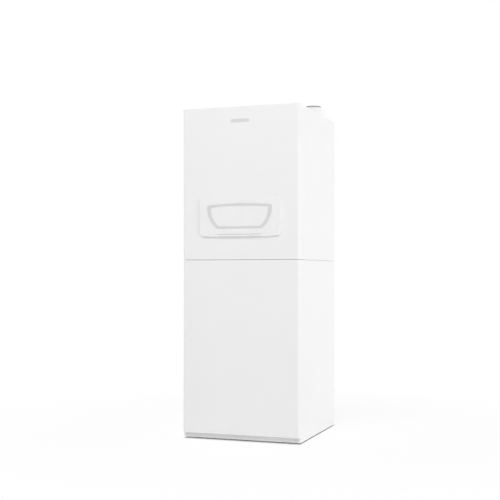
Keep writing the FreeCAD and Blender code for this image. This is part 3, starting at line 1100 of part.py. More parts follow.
CROWN = bow_radius("2*vessel_radius", "vessel_crown")
vessel = turned("expansion_vessel",
                [("0", "-vessel_depth/2"), ("vessel_radius", "vessel_crown - vessel_depth/2"),
                 ("vessel_radius", "-vessel_rim"), ("vessel_radius + vessel_rim", "-vessel_rim"),
                 ("vessel_radius + vessel_rim", "vessel_rim"), ("vessel_radius", "vessel_rim"),
                 ("vessel_radius", "vessel_depth/2 - vessel_crown"), ("0", "vessel_depth/2")],
                {0: CROWN, 6: CROWN},
                towards="front")
place(vessel, VESSEL_X, VESSEL_Y, VESSEL_Z)
VESSEL_LOW = f"({VESSEL_Z} - vessel_radius - vessel_rim - fit_gap)"
LINK_Z = f"({PIPE_Z} + 3*pipe_bend)"
link = bent_rod([(VESSEL_X, VESSEL_Y, VESSEL_LOW), (VESSEL_X, VESSEL_Y, LINK_Z), (RETURN_X, VESSEL_Y, LINK_Z),
                 (RETURN_X, VESSEL_Y, f"{PIPE_Z} + pipe_radius + fit_gap")], "vessel_pipe", "pipe_bend")
pipes = [shaped("pipe", solid) for solid in (return_line, feed_line, flow_line, heat_line, coil_feed, link)]
keep("heating_pipes", group("heating_pipes", pipes + [bleed]))

# Hot-water tank: domed vessel, insulation halves, anode and drain cock

TANK_Z = f"({TRAY_FLOOR} + fit_gap + tank_rise)"
SHELL_TOP = f"({FOAM_TOP} - foam_top - tank_dome - {TANK_Z})"
DOME = f"(({TANK_R}^2 + tank_dome^2)/(2*tank_dome))"
INNER_R = f"({TANK_R} - tank_wall)"
INNER_DOME = f"(({INNER_R}^2 + (tank_dome - tank_wall)^2)/(2*(tank_dome - tank_wall)))"
NECK_Z = f"({SHELL_TOP} + tank_dome - {DOME} + sqrt({DOME}^2 - neck_radius^2))"
NECK_IN = f"({SHELL_TOP} + tank_dome - tank_wall - {INNER_DOME} + sqrt({INNER_DOME}^2 - neck_bore^2))"
NECK_TOP = f"({SHELL_TOP} + tank_dome + neck_height)"
tank = turned("tank_vessel",
              [("0", "-tank_dome"), (TANK_R, "0"), (TANK_R, SHELL_TOP), ("neck_radius", NECK_Z),
               ("neck_radius", NECK_TOP), ("neck_bore", NECK_TOP), ("neck_bore", NECK_IN),
               (INNER_R, SHELL_TOP), (INNER_R, "0"), ("0", "tank_wall - tank_dome")],
              {0: DOME, 2: DOME}, {6: INNER_DOME, 8: INNER_DOME})
stubs = sketch_in(tank, "XY_Plane", f"{SHELL_TOP} + tank_dome/4")
NIPPLES = (("-water_x", "nipple_y"), ("water_x", "nipple_y"), (COIL_IN_X, "outlet_y"),
           (RETURN_X, "coil_out_y"))
for x, y in NIPPLES:
    circle(stubs, x, y, "nipple_radius")
pad(tank, stubs, "tank_dome - tank_dome/4 + foam_top")
TAP_IN = f"(sqrt({TANK_R}^2 - cock_x^2) - tank_wall)"
TAP_OUT = f"(sqrt({FOAM_OUT}^2 - (cock_x + cock_body)^2) + fit_gap)"
tap = circle(sketch_in(tank, "XZ_Plane", TAP_IN), "cock_x", "cock_rise", "cock_radius")
pad(tank, tap, f"{TAP_OUT} - {TAP_IN}")
place(tank, z=TANK_Z)

FOAM_IN = f"({TANK_R} + fit_gap)"
FOAM_DOME = f"({DOME} + fit_gap)"
FOAM_NECK = "(neck_radius + fit_gap)"
FOAM_LIP = f"(tank_dome - {DOME} + sqrt({FOAM_DOME}^2 - {FOAM_IN}^2))"
FOAM_LID = f"({SHELL_TOP} + tank_dome + foam_top)"
foam_outline = [("0", "-tank_rise"), (FOAM_OUT, "-tank_rise"), (FOAM_OUT, FOAM_LID), (FOAM_NECK, FOAM_LID),
                (FOAM_NECK, f"{SHELL_TOP} + tank_dome - {DOME} + sqrt({FOAM_DOME}^2 - {FOAM_NECK}^2)"),
                (FOAM_IN, f"{SHELL_TOP} + {FOAM_LIP}"), (FOAM_IN, f"-{FOAM_LIP}"),
                ("0", "-tank_dome - fit_gap")]
halves = []
for half, sign in (("front", "-1"), ("rear", "1")):
    foam = turned("foam", foam_outline, hollows={4: FOAM_DOME, 6: FOAM_DOME}, half=half, kept=False)
    halves.append(foam)
    if half == "front":
        hole = circle(sketch_in(foam, "XZ_Plane", TAP_IN), "cock_x", "cock_rise", "cock_radius + fit_gap")
        pocket(foam, hole, f"{TAP_OUT} - {TAP_IN} + overrun", flip=True)
    else:
        holes = sketch_in(foam, "XY_Plane", SHELL_TOP)
        for x, y in NIPPLES:
            circle(holes, x, y, "nipple_radius + fit_gap")
        pocket(foam, holes, "tank_dome + foam_top + overrun", flip=True)
    place(foam, "0", f"{sign}*fit_gap/2", TANK_Z)
keep("tank_insulation", group("tank_insulation", halves))

anode = turned("tank_anode", [("0", "-anode_length"), ("anode_rod", "-anode_length"), ("anode_rod", "0"),
                              ("anode_hex", "0"), ("anode_hex", "anode_cap"), ("0", "anode_cap")])
place(anode, z=f"{TANK_Z} + {NECK_TOP} + fit_gap")

# Drain cock at the foot of the tank

COCK_Y = f"(-{TAP_OUT} - fit_gap)"
COCK_Z = f"({TANK_Z} + cock_rise)"
cock = turned("drain_cock", [("0", "0"), ("cock_body", "0"), ("cock_body", "cock_length"),
                             ("cock_stem", "cock_length"),
                             ("cock_stem", "cock_length + cock_knob_wall/2"),
                             ("0", "cock_length + cock_knob_wall/2")], towards="front")
spout = circle(sketch_in(cock, "XZ_Plane"), "0", "cock_length/2", "cock_spout")
pad(cock, spout, "cock_spout_drop")
place(cock, "cock_x", COCK_Y, COCK_Z)
tap_knob = turned("drain_cock_knob", [("cock_stem + run_gap", "fit_gap"), ("cock_knob", "fit_gap"),
                                      ("cock_knob", "cock_knob_wall"), ("0", "cock_knob_wall"),
                                      ("0", "cock_knob_wall/2 + fit_gap"),
                                      ("cock_stem + run_gap", "cock_knob_wall/2 + fit_gap")], towards="front")
lobe = circle(sketch_in(tap_knob, "XY_Plane", "fit_gap"), "cock_knob", "0", "cock_knob/4")
repeat(tap_knob, pocket(tap_knob, lobe, "cock_knob_wall", flip=True), (lobe, ["N_Axis"]), "cock_lobe_count")
place(tap_knob, "cock_x", f"{COCK_Y} - cock_length", COCK_Z)

# Mains gland through the back panel

GLAND_IN = "(-skin - 2*fit_gap)"
gland = turned("mains_gland", [("gland_bore", f"{GLAND_IN} - gland_tail"),
                               ("gland_hex", f"{GLAND_IN} - gland_tail"),
                               ("gland_hex", GLAND_IN), ("gland_radius", GLAND_IN), ("gland_radius", "0"),
                               ("gland_hex", "0"), ("gland_hex", "gland_wall"), ("gland_bore", "gland_wall")],
               towards="rear")
place(gland, GLAND_X, f"{PANEL_BACK} + fit_gap", GLAND_Z)

# Every object is sound before anything is written

doc.recompute()
for thing in doc.Objects:
    if "Invalid" in thing.State or "Error" in thing.State:
        raise RuntimeError(f"{thing.Name} ({thing.Label}) failed: {thing.State}")
for label, thing in NODES.items():
    if thing.Shape.isNull() or not thing.Shape.isValid() or not thing.Shape.Solids:
        raise RuntimeError(f"{label} has no sound shape")

os.makedirs("parts", exist_ok=True)
for label, thing in NODES.items():
    thing.Shape.exportStep(f"parts/{label}.step")
print(len(NODES), "parts written")
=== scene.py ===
"""Looks of a floor-standing condensing gas boiler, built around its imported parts."""

import json
import math

import bmesh
import bpy
from mathutils import Matrix, Vector


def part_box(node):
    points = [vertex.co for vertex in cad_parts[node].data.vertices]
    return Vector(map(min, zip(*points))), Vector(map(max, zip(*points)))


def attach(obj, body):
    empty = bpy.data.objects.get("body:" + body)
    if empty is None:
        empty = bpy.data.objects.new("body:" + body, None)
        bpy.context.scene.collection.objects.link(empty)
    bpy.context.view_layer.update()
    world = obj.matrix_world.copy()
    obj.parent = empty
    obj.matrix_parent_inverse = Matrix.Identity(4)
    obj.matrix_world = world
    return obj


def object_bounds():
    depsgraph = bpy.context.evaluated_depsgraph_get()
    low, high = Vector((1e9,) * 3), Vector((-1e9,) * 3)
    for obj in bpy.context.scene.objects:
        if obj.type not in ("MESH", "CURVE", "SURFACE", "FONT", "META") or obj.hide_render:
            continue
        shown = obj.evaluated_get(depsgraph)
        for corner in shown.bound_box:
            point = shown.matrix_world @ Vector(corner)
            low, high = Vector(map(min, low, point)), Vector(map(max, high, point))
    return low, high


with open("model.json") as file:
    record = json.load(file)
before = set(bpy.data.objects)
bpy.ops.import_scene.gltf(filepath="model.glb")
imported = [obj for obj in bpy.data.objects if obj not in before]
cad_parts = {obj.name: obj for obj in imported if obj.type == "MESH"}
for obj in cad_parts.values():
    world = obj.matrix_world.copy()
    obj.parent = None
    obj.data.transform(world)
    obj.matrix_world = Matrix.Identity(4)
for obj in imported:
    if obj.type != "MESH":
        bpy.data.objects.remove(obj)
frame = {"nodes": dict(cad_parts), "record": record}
cad_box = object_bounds()
record = frame["record"]
nodes = frame["nodes"]

MM = 0.001
TRIM_GREY = (0.745, 0.745, 0.745)

# The record's colours, with the trim in a neutral grey
colours = {entry["slot"]: entry["base_color"] for entry in record["materials"]}
colours["grey_trim"] = TRIM_GREY


# Procedural finishes

NOISE_LOW = 0.3
NOISE_HIGH = 0.7
EVEN = (1, 1, 1)


class Finish:
    """A material made of nodes, in object coordinates, which are metres in the part's frame."""

    def __init__(self, slot, roughness, metallic=0.0):
        self.material = bpy.data.materials.new(slot)
        self.material.use_nodes = True
        self.nodes = self.material.node_tree.nodes
        self.links = self.material.node_tree.links
        self.shader = self.nodes["Principled BSDF"]
        self.colour = colours[slot]
        self.set("Base Color", (*self.colour, 1))
        self.set("Roughness", roughness)
        self.set("Metallic", metallic)
        self.place = self.nodes.new("ShaderNodeTexCoord").outputs["Object"]

    def set(self, socket, value):
        """One value of the shader."""
        self.shader.inputs[socket].default_value = value

    def stretched(self, stretch):
        """The coordinates scaled along each axis, so that a texture draws out along the small ones."""
        mapping = self.nodes.new("ShaderNodeMapping")
        mapping.inputs["Scale"].default_value = stretch
        self.links.new(self.place, mapping.inputs["Vector"])
        return mapping.outputs["Vector"]

    def noise(self, grain, detail=3.0, stretch=EVEN):
        """Noise with features about one grain across, in metres."""
        node = self.nodes.new("ShaderNodeTexNoise")
        node.inputs["Scale"].default_value = 1 / grain
        node.inputs["Detail"].default_value = detail
        self.links.new(self.stretched(stretch), node.inputs["Vector"])
        return node.outputs["Fac"]

    def cells(self, grain, output="Distance"):
        """Cells about one grain across, in metres."""
        node = self.nodes.new("ShaderNodeTexVoronoi")
        node.inputs["Scale"].default_value = 1 / grain
        self.links.new(self.place, node.inputs["Vector"])
        return node.outputs[output]

    def ranged(self, value, low, high):
        """The middle of a noise's range spread from low to high."""
        node = self.nodes.new("ShaderNodeMapRange")
        ends = {"From Min": NOISE_LOW, "From Max": NOISE_HIGH, "To Min": low, "To Max": high}
        for socket, amount in ends.items():
            node.inputs[socket].default_value = amount
        self.links.new(value, node.inputs["Value"])
        return node.outputs["Result"]

    def tint(self, value, other, share=1.0):
        """The base colour, drawn towards another one where the value is high."""
        node = self.nodes.new("ShaderNodeMix")
        node.data_type = "RGBA"
        node.inputs["A"].default_value = (*self.colour, 1)
        node.inputs["B"].default_value = (*other, 1)
        self.links.new(self.ranged(value, 0, share), node.inputs["Factor"])
        self.links.new(node.outputs["Result"], self.shader.inputs["Base Color"])

    def vary(self, value, low, high):
        """The roughness, from low to high with the value."""
        self.links.new(self.ranged(value, low, high), self.shader.inputs["Roughness"])

    def bump(self, height, depth, below=None):
        """A relief of that depth in metres, over another one if given."""
        node = self.nodes.new("ShaderNodeBump")
        node.inputs["Distance"].default_value = depth
        self.links.new(height, node.inputs["Height"])
        if below:
            self.links.new(below, node.inputs["Normal"])
        return node.outputs["Normal"]

    def relief(self, normal):
        """The relief that the shader takes."""
        self.links.new(normal, self.shader.inputs["Normal"])


def shade(colour, share):
    """A darker or lighter version of a colour."""
    return tuple(min(1.0, part * share) for part in colour)


def powder_coat(slot):
    """Stoved powder paint with a faint orange peel."""
    finish = Finish(slot, roughness=0.42)
    finish.tint(finish.noise(grain=180 * MM, detail=2), shade(finish.colour, share=0.99))
    finish.vary(finish.noise(grain=25 * MM), low=0.38, high=0.46)
    peel = finish.bump(finish.noise(grain=3.5 * MM, detail=1), depth=0.012 * MM)
    finish.relief(finish.bump(finish.noise(grain=0.6 * MM, detail=2), depth=0.006 * MM, below=peel))
    return finish.material


def moulding(slot, roughness=0.45, grain=0.5 * MM, depth=0.012 * MM, mottle=0.93):
    """Moulded plastic with the fine spark-eroded grain of its tool."""
    finish = Finish(slot, roughness)
    finish.tint(finish.noise(grain=40 * MM), shade(finish.colour, share=mottle))
    finish.vary(finish.noise(grain=9 * MM), low=roughness - 0.05, high=roughness + 0.07)
    finish.relief(finish.bump(finish.cells(grain), depth))
    return finish.material


def zinc_sheet(slot):
    """Galvanised sheet with its spangle."""
    finish = Finish(slot, roughness=0.4, metallic=1.0)
    finish.tint(finish.cells(grain=9 * MM, output="Color"), shade(finish.colour, share=0.87))
    finish.vary(finish.noise(grain=20 * MM, detail=4), low=0.3, high=0.5)
    finish.relief(finish.bump(finish.noise(grain=1.5 * MM), depth=0.01 * MM))
    return finish.material


def casting(slot, roughness=0.55, metallic=1.0):
    """A sand casting: grainy skin and cloudy colour."""
    finish = Finish(slot, roughness, metallic)
    finish.tint(finish.noise(grain=45 * MM, detail=5), shade(finish.colour, share=0.82))
    finish.vary(finish.noise(grain=6 * MM, detail=4), low=roughness - 0.1, high=roughness + 0.12)
    coarse = finish.bump(finish.noise(grain=4 * MM), depth=0.12 * MM)
    finish.relief(finish.bump(finish.noise(grain=0.9 * MM, detail=2), depth=0.08 * MM, below=coarse))
    return finish.material


def drawn_tube(slot, stain, roughness=0.3):
    """Drawn or turned metal with tarnish clouds and faint drawing lines."""
    finish = Finish(slot, roughness, metallic=1.0)
    finish.tint(finish.noise(grain=22 * MM, detail=5), stain, share=0.8)
    finish.vary(finish.noise(grain=5 * MM, detail=4), low=roughness - 0.08, high=roughness + 0.16)
    lines = finish.noise(grain=1.2 * MM, detail=2, stretch=(1, 0.05, 1))
    finish.relief(finish.bump(lines, depth=0.01 * MM))
    return finish.material


def bead_foam(slot):
    """Expanded foam: pressed beads with seams between them."""
    finish = Finish(slot, roughness=0.75)
    beads = finish.cells(grain=4.5 * MM)
    finish.tint(beads, shade(finish.colour, share=0.92))
    finish.vary(finish.noise(grain=15 * MM), low=0.68, high=0.82)
    finish.relief(finish.bump(beads, depth=-0.35 * MM))
    return finish.material


def rubber(slot):
    """Moulded rubber with a dusty bloom."""
    finish = Finish(slot, roughness=0.62)
    finish.tint(finish.noise(grain=12 * MM, detail=4), shade(finish.colour, share=4))
    finish.vary(finish.noise(grain=4 * MM), low=0.55, high=0.72)
    finish.relief(finish.bump(finish.noise(grain=0.7 * MM), depth=0.03 * MM))
    return finish.material


def enamel(slot, roughness=0.3):
    """Brushed-on gloss enamel over sheet metal."""
    finish = Finish(slot, roughness)
    finish.tint(finish.noise(grain=60 * MM, detail=4), shade(finish.colour, share=0.82))
    finish.vary(finish.noise(grain=12 * MM), low=roughness - 0.06, high=roughness + 0.1)
    finish.relief(finish.bump(finish.noise(grain=5 * MM, detail=2), depth=0.05 * MM))
    return finish.material


def clear_window(slot):
    """A clear moulded lens with faint wiping marks."""
    finish = Finish(slot, roughness=0.04)
    finish.set("Transmission Weight", 1.0)
    finish.set("IOR", 1.49)
    finish.vary(finish.noise(grain=8 * MM, detail=4, stretch=(1, 1, 0.3)), low=0.02, high=0.07)
    return finish.material


def dark_window(slot):
    """A tinted display window with a gloss coat."""
    finish = Finish(slot, roughness=0.12)
    finish.set("Coat Weight", 0.6)
    finish.set("Coat Roughness", 0.05)
    finish.tint(finish.noise(grain=30 * MM, detail=2), shade(finish.colour, share=1.6))
    finish.vary(finish.noise(grain=10 * MM, detail=4), low=0.08, high=0.16)
    return finish.material


STAIN_OF_COPPER = (0.42, 0.2, 0.12)
STAIN_OF_BRASS = (0.5, 0.36, 0.17)
STAIN_OF_STEEL = (0.42, 0.41, 0.4)

finishes = {
    "white_enamel": powder_coat("white_enamel"),
    "white_plastic": moulding("white_plastic", roughness=0.4, mottle=0.98),
    "grey_trim": moulding("grey_trim", roughness=0.42, mottle=0.96),
    "galvanised": zinc_sheet("galvanised"),
    "console_grey": moulding("console_grey", roughness=0.5, grain=0.7 * MM, depth=0.03 * MM),
    "dark_plastic": moulding("dark_plastic", roughness=0.42, grain=0.7 * MM, depth=0.03 * MM, mottle=1.5),
    "screen_glass": dark_window("screen_glass"),
    "clear_lens": clear_window("clear_lens"),
    "dial_white": moulding("dial_white", roughness=0.55, mottle=0.96),
    "cast_aluminium": casting("cast_aluminium"),
    "machined_steel": drawn_tube("machined_steel", STAIN_OF_STEEL),
    "copper": drawn_tube("copper", STAIN_OF_COPPER, roughness=0.28),
    "brass": drawn_tube("brass", STAIN_OF_BRASS),
    "grey_polymer": moulding("grey_polymer", roughness=0.5, grain=0.9 * MM, depth=0.03 * MM),
    "white_polymer": moulding("white_polymer", roughness=0.4, mottle=0.97),
    "seal_rubber": rubber("seal_rubber"),
    "vessel_red": enamel("vessel_red"),
    "pump_paint": casting("pump_paint", roughness=0.5, metallic=0.0),
    "safety_red": moulding("safety_red", roughness=0.4),
    "tank_enamel": enamel("tank_enamel", roughness=0.45),
    "insulation": bead_foam("insulation"),
    "ceramic_white": enamel("ceramic_white", roughness=0.2),
    "magnesium": casting("magnesium", roughness=0.6),
}
for subpart in record["subparts"]:
    node = nodes[subpart["node"]]
    node.data.materials.clear()
    node.data.materials.append(finishes[subpart["material_slot"]])


# Shapes of the small pieces

TURNS = {
    "up": Matrix.Identity(4),
    "front": Matrix.Rotation(math.radians(90), 4, "X"),
    "rear": Matrix.Rotation(math.radians(-90), 4, "X"),
}
ROUND_STEPS = 32
SHARP_ANGLE = math.radians(35)


def facing(direction, place, spin=0.0):
    """The placement of a shape whose own Z then points up, to the front or to the rear."""
    return Matrix.Translation(place) @ TURNS[direction] @ Matrix.Rotation(spin, 4, "Z")


def block(size, edge):
    """A box about the origin with rounded edges."""
    shape = bmesh.new()
    bmesh.ops.create_cube(shape, size=1)
    bmesh.ops.scale(shape, vec=Vector(size), verts=shape.verts)
    bmesh.ops.bevel(shape, geom=shape.edges[:], offset=edge, segments=2, profile=0.5, affect="EDGES")
    return shape


def turned(profile, steps=ROUND_STEPS):
    """A solid of revolution about Z through (radius, height) points."""
    shape = bmesh.new()
    angles = [math.tau * step / steps for step in range(steps)]
    rings = []
    for radius, height in profile:
        if radius == 0:
            rings.append([shape.verts.new((0, 0, height))] * steps)
        else:
            circle = [(radius * math.cos(a), radius * math.sin(a), height) for a in angles]
            rings.append([shape.verts.new(point) for point in circle])
    for lower, upper in zip(rings, rings[1:]):
        for step in range(steps):
            after = (step + 1) % steps
            face = dict.fromkeys((lower[step], lower[after], upper[after], upper[step]))
            shape.faces.new(list(face))
    return shape


def ring(outer, inner, height, start=0.0, sweep=math.tau, steps=ROUND_STEPS):
    """A flat ring on the plane Z 0, or a part of one."""
    shape = bmesh.new()
    closed = sweep == math.tau
    rise = Vector((0, 0, height))
    stations = []
    for step in range(steps if closed else steps + 1):
        angle = start + sweep * step / steps
        side = Vector((math.cos(angle), math.sin(angle), 0))
        section = (side * inner, side * outer, side * outer + rise, side * inner + rise)
        stations.append([shape.verts.new(point) for point in section])
    following = stations[1:] + stations[:1] if closed else stations[1:]
    for here, there in zip(stations, following):
        for corner in range(len(here)):
            beside = (corner + 1) % len(here)
            shape.faces.new((here[corner], here[beside], there[beside], there[corner]))
    if not closed:
        shape.faces.new(stations[0])
        shape.faces.new(stations[-1])
    return shape


def stacked(outlines):
    """A closed shape through outlines of as many points each, from the lowest to the highest."""
    shape = bmesh.new()
    loops = [[shape.verts.new(point) for point in outline] for outline in outlines]
    for lower, upper in zip(loops, loops[1:]):
        for step in range(len(lower)):
            after = (step + 1) % len(lower)
            shape.faces.new((lower[step], lower[after], upper[after], upper[step]))
    shape.faces.new(loops[0])
    shape.faces.new(loops[-1])
    return shape


def plate(width, height, corner, wall, edge, steps=8):
    """A plate with round corners, lying on the plane Z 0, with a small bevel round its top."""
    outlines = []
    for inset, level in ((0, 0), (0, wall - edge), (edge, wall)):
        outline = []
        for quarter in range(4):
            centre = Vector(((width / 2 - corner) * (1, -1, -1, 1)[quarter],
                             (height / 2 - corner) * (1, 1, -1, -1)[quarter], level))
            for step in range(steps + 1):
                angle = math.pi / 2 * (quarter + step / steps)
                outline.append(centre + (corner - inset) * Vector((math.cos(angle), math.sin(angle), 0)))
        outlines.append(outline)
    return stacked(outlines)


def sheet(outline, wall):
    """A flat shape with the given outline, standing up from the plane Z 0."""
    return stacked([[(x, y, level) for x, y in outline] for level in (0, wall)])


def figures(text, height, wall):
    """Plain figures about the origin, standing up from the plane Z 0."""
    curve = bpy.data.curves.new("figures", "FONT")
    curve.body = text
    curve.size = height
    curve.extrude = wall / 2
    curve.align_x = "CENTER"
    curve.align_y = "CENTER"
    holder = bpy.data.objects.new("figures", curve)
    bpy.context.scene.collection.objects.link(holder)
    mesh = bpy.data.meshes.new_from_object(holder.evaluated_get(bpy.context.evaluated_depsgraph_get()))
    shape = bmesh.new()
    shape.from_mesh(mesh)
    bmesh.ops.translate(shape, vec=(0, 0, wall / 2), verts=shape.verts)
    bpy.data.objects.remove(holder)
    bpy.data.meshes.remove(mesh)
    return shape


def piece(name, shapes, body, slot):
    """One object of several placed shapes, which rides on a body and takes a slot's finish."""
    whole = bmesh.new()
    for shape, placement in shapes:
        bmesh.ops.transform(shape, matrix=placement, verts=shape.verts)
        mesh = bpy.data.meshes.new(name)
        shape.to_mesh(mesh)
        shape.free()
        whole.from_mesh(mesh)
        bpy.data.meshes.remove(mesh)
    bmesh.ops.recalc_face_normals(whole, faces=whole.faces)
    mesh = bpy.data.meshes.new(name)
    whole.to_mesh(mesh)
    whole.free()
    mesh.shade_smooth()
    mesh.set_sharp_from_angle(angle=SHARP_ANGLE)
    mesh.materials.append(finishes[slot])
    made = bpy.data.objects.new(name, mesh)
    bpy.context.scene.collection.objects.link(made)
    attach(made, body)


def spread(low, high, count):
    """Evenly spaced values from low to high."""
    return [low + (high - low) * step / (count - 1) for step in range(count)]


def middle(node):
    """The middle of a node's box."""
    low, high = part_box(node)
    return (low + high) / 2


# Casing screws with hexagon heads on a washer

WASHER_RADIUS = 5.5 * MM
WASHER_WALL = 1 * MM
HEX_RADIUS = 4.4 * MM
HEX_HEIGHT = 4 * MM
HEX_CHAMFER = 0.6 * MM
HEX_SIDES = 6


def washer():
    """The washer of one screw, on the plane Z 0."""
    bevel = WASHER_WALL / 2
    return turned([(0, 0), (WASHER_RADIUS, 0), (WASHER_RADIUS, WASHER_WALL - bevel),
                   (WASHER_RADIUS - bevel, WASHER_WALL), (0, WASHER_WALL)])


def hexagon():
    """The head of one screw, on its washer."""
    top = WASHER_WALL + HEX_HEIGHT
    return turned([(0, WASHER_WALL), (HEX_RADIUS, WASHER_WALL), (HEX_RADIUS, top - HEX_CHAMFER),
                   (HEX_RADIUS - HEX_CHAMFER, top), (0, top)], HEX_SIDES)


def screws(name, body, direction, places, scale=1.0):
    """A group of screws like those of the casing, or smaller ones."""
    shapes = []
    for place in places:
        placement = facing(direction, place) @ Matrix.Scale(scale, 4)
        shapes += [(washer(), placement), (hexagon(), placement)]
    piece(name, shapes, body, "machined_steel")


CASING_SCREW_INSET = 9 * MM
CASING_SCREW_END = 60 * MM
CASING_SCREW_ROWS = 4


def casing_row(low, high):
    """Where the screws of one row stand along a panel's edge."""
    return spread(low + CASING_SCREW_END, high - CASING_SCREW_END, CASING_SCREW_ROWS)


casing_places = []
for side in ("lower_left_side", "lower_right_side", "upper_left_side", "upper_right_side"):
    low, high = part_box(side)
    x = low.x + CASING_SCREW_INSET if "left" in side else high.x - CASING_SCREW_INSET
    casing_places += [Vector((x, high.y, z)) for z in casing_row(low.z, high.z)]
low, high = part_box("top_cover")
cover_z = middle("top_cover").z
casing_places += [Vector((x, high.y, cover_z)) for x in casing_row(low.x, high.x)]
screws("casing_screws", "cabinet", "rear", casing_places)


# Blank plate on the upper front

BADGE_Z = 1552 * MM
BADGE_WIDTH = 96 * MM
BADGE_HEIGHT = 16 * MM
BADGE_WALL = 0.8 * MM
BADGE_EDGE = 0.4 * MM
front_low, front_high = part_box("upper_front_panel")
badge = plate(BADGE_WIDTH, BADGE_HEIGHT, BADGE_HEIGHT / 2, BADGE_WALL, BADGE_EDGE)
badge_spot = Vector((0, front_low.y, BADGE_Z))
piece("badge_plate", [(badge, facing("front", badge_spot))], "upper_front", "grey_trim")


# Marks on the control panel

MARK_WALL = 0.25 * MM
MARK_EDGE = 0.05 * MM
FASCIA_WALL = 3 * MM
fascia_low, fascia_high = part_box("control_fascia")
fascia_face = fascia_high.y - FASCIA_WALL


def stroke(length, width):
    """A printed stroke, half of it above the plane Z 0."""
    return block((length, width, 2 * MARK_WALL), MARK_EDGE)


def away(angle):
    """The direction at an angle from the top, clockwise as seen from the front."""
    return Vector((math.sin(angle), 0, math.cos(angle)))


def dial_marks(centre, radius, length, width, angles):
    """Printed strokes round a dial, from a radius outwards."""
    return [(stroke(width, length), facing("front", centre + away(angle) * (radius + length / 2), -angle))
            for angle in angles]


SCALE_SWEEP = math.radians(135)
KNOB_MARKS = 11
KNOB_MARK_GAP = 3 * MM
KNOB_MARK_LENGTH = 3 * MM
KNOB_MARK_WIDTH = 0.9 * MM
POINTER_DEPTH = 1 * MM
POINTER_START = 6.6 * MM
POINTER_LENGTH = 11 * MM
POINTER_WIDTH = 2.2 * MM
for name, body in (("heating_knob", "heating_dial"), ("hot_water_knob", "hot_water_dial")):
    low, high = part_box(name)
    centre = Vector((middle(name).x, fascia_face, middle(name).z))
    marks = dial_marks(centre, (high.x - low.x) / 2 + KNOB_MARK_GAP, KNOB_MARK_LENGTH, KNOB_MARK_WIDTH,
                       spread(-SCALE_SWEEP, SCALE_SWEEP, KNOB_MARKS))
    piece(f"{name}_marks", marks, "cabinet", "dial_white")
    groove = Vector((centre.x, low.y + POINTER_DEPTH, centre.z))
    pointer = dial_marks(groove, POINTER_START, POINTER_LENGTH, POINTER_WIDTH, [0])
    piece(f"{name}_pointer", pointer, body, "dial_white")

DIAL_DEPTH = 7 * MM
DIAL_RADIUS = 26 * MM
DIAL_FIGURE_RADIUS = 18.5 * MM
DIAL_FIGURE_HEIGHT = 6 * MM
DIAL_STEPS = 4
DIAL_PARTS = 5
FINE_LENGTH = 3 * MM
FINE_WIDTH = 0.5 * MM
COARSE_LENGTH = 4 * MM
COARSE_WIDTH = 0.9 * MM
gauge = middle("gauge_body")
dial_centre = Vector((gauge.x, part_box("gauge_body")[0].y + DIAL_DEPTH, gauge.z))
fine = spread(-SCALE_SWEEP, SCALE_SWEEP, DIAL_STEPS * DIAL_PARTS + 1)
coarse = spread(-SCALE_SWEEP, SCALE_SWEEP, DIAL_STEPS + 1)
dial = dial_marks(dial_centre, DIAL_RADIUS - FINE_LENGTH, FINE_LENGTH, FINE_WIDTH, fine)
dial += dial_marks(dial_centre, DIAL_RADIUS - COARSE_LENGTH, COARSE_LENGTH, COARSE_WIDTH, coarse)
for number, angle in enumerate(coarse):
    figure = figures(str(number), DIAL_FIGURE_HEIGHT, MARK_WALL)
    dial.append((figure, facing("front", dial_centre + away(angle) * DIAL_FIGURE_RADIUS)))
piece("gauge_scale", dial, "cabinet", "dark_plastic")

SIGN_RISE = 38 * MM


def sign_spot(knob):
    """The place of a sign, on the fascia above a knob."""
    return Vector((middle(knob).x, fascia_face, middle(knob).z + SIGN_RISE))


BAR = 1 * MM
BAR_HEIGHT = 8 * MM
BAR_PITCH = 2.4 * MM
BAR_COUNT = 5
half_row = BAR_PITCH * (BAR_COUNT - 1) / 2
heating_spot = sign_spot("heating_knob")
radiator = [(stroke(BAR, BAR_HEIGHT), facing("front", heating_spot + Vector((x, 0, 0))))
            for x in spread(-half_row, half_row, BAR_COUNT)]
radiator += [(stroke(2 * half_row, BAR), facing("front", heating_spot + Vector((0, 0, z))))
             for z in (BAR_HEIGHT / 4, -BAR_HEIGHT / 4)]
piece("heating_sign", radiator, "cabinet", "dial_white")

DROP_RADIUS = 3.4 * MM
DROP_TIP = 8.5 * MM
DROP_STEPS = 24
tangent = math.acos(DROP_RADIUS / DROP_TIP)
drop = [(DROP_RADIUS * math.sin(angle), DROP_RADIUS * math.cos(angle))
        for angle in spread(tangent, math.tau - tangent, DROP_STEPS)]
drop_sign = sheet(drop + [(0, DROP_TIP)], MARK_WALL)
piece("hot_water_sign", [(drop_sign, facing("front", sign_spot("hot_water_knob")))], "cabinet", "dial_white")

KEY_MARK = 5 * MM
KEY_STROKE = 0.9 * MM
TURN_START = math.radians(60)
TURN_SWEEP = math.radians(280)


def on_key(node):
    """The placement of a mark in the middle of a key's front."""
    return facing("front", Vector((middle(node).x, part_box(node)[0].y, middle(node).z)))


def key_ring(start=0.0, sweep=math.tau):
    """A round mark, or an arc of one."""
    return ring(KEY_MARK / 2, KEY_MARK / 2 - KEY_STROKE, MARK_WALL, start, sweep)


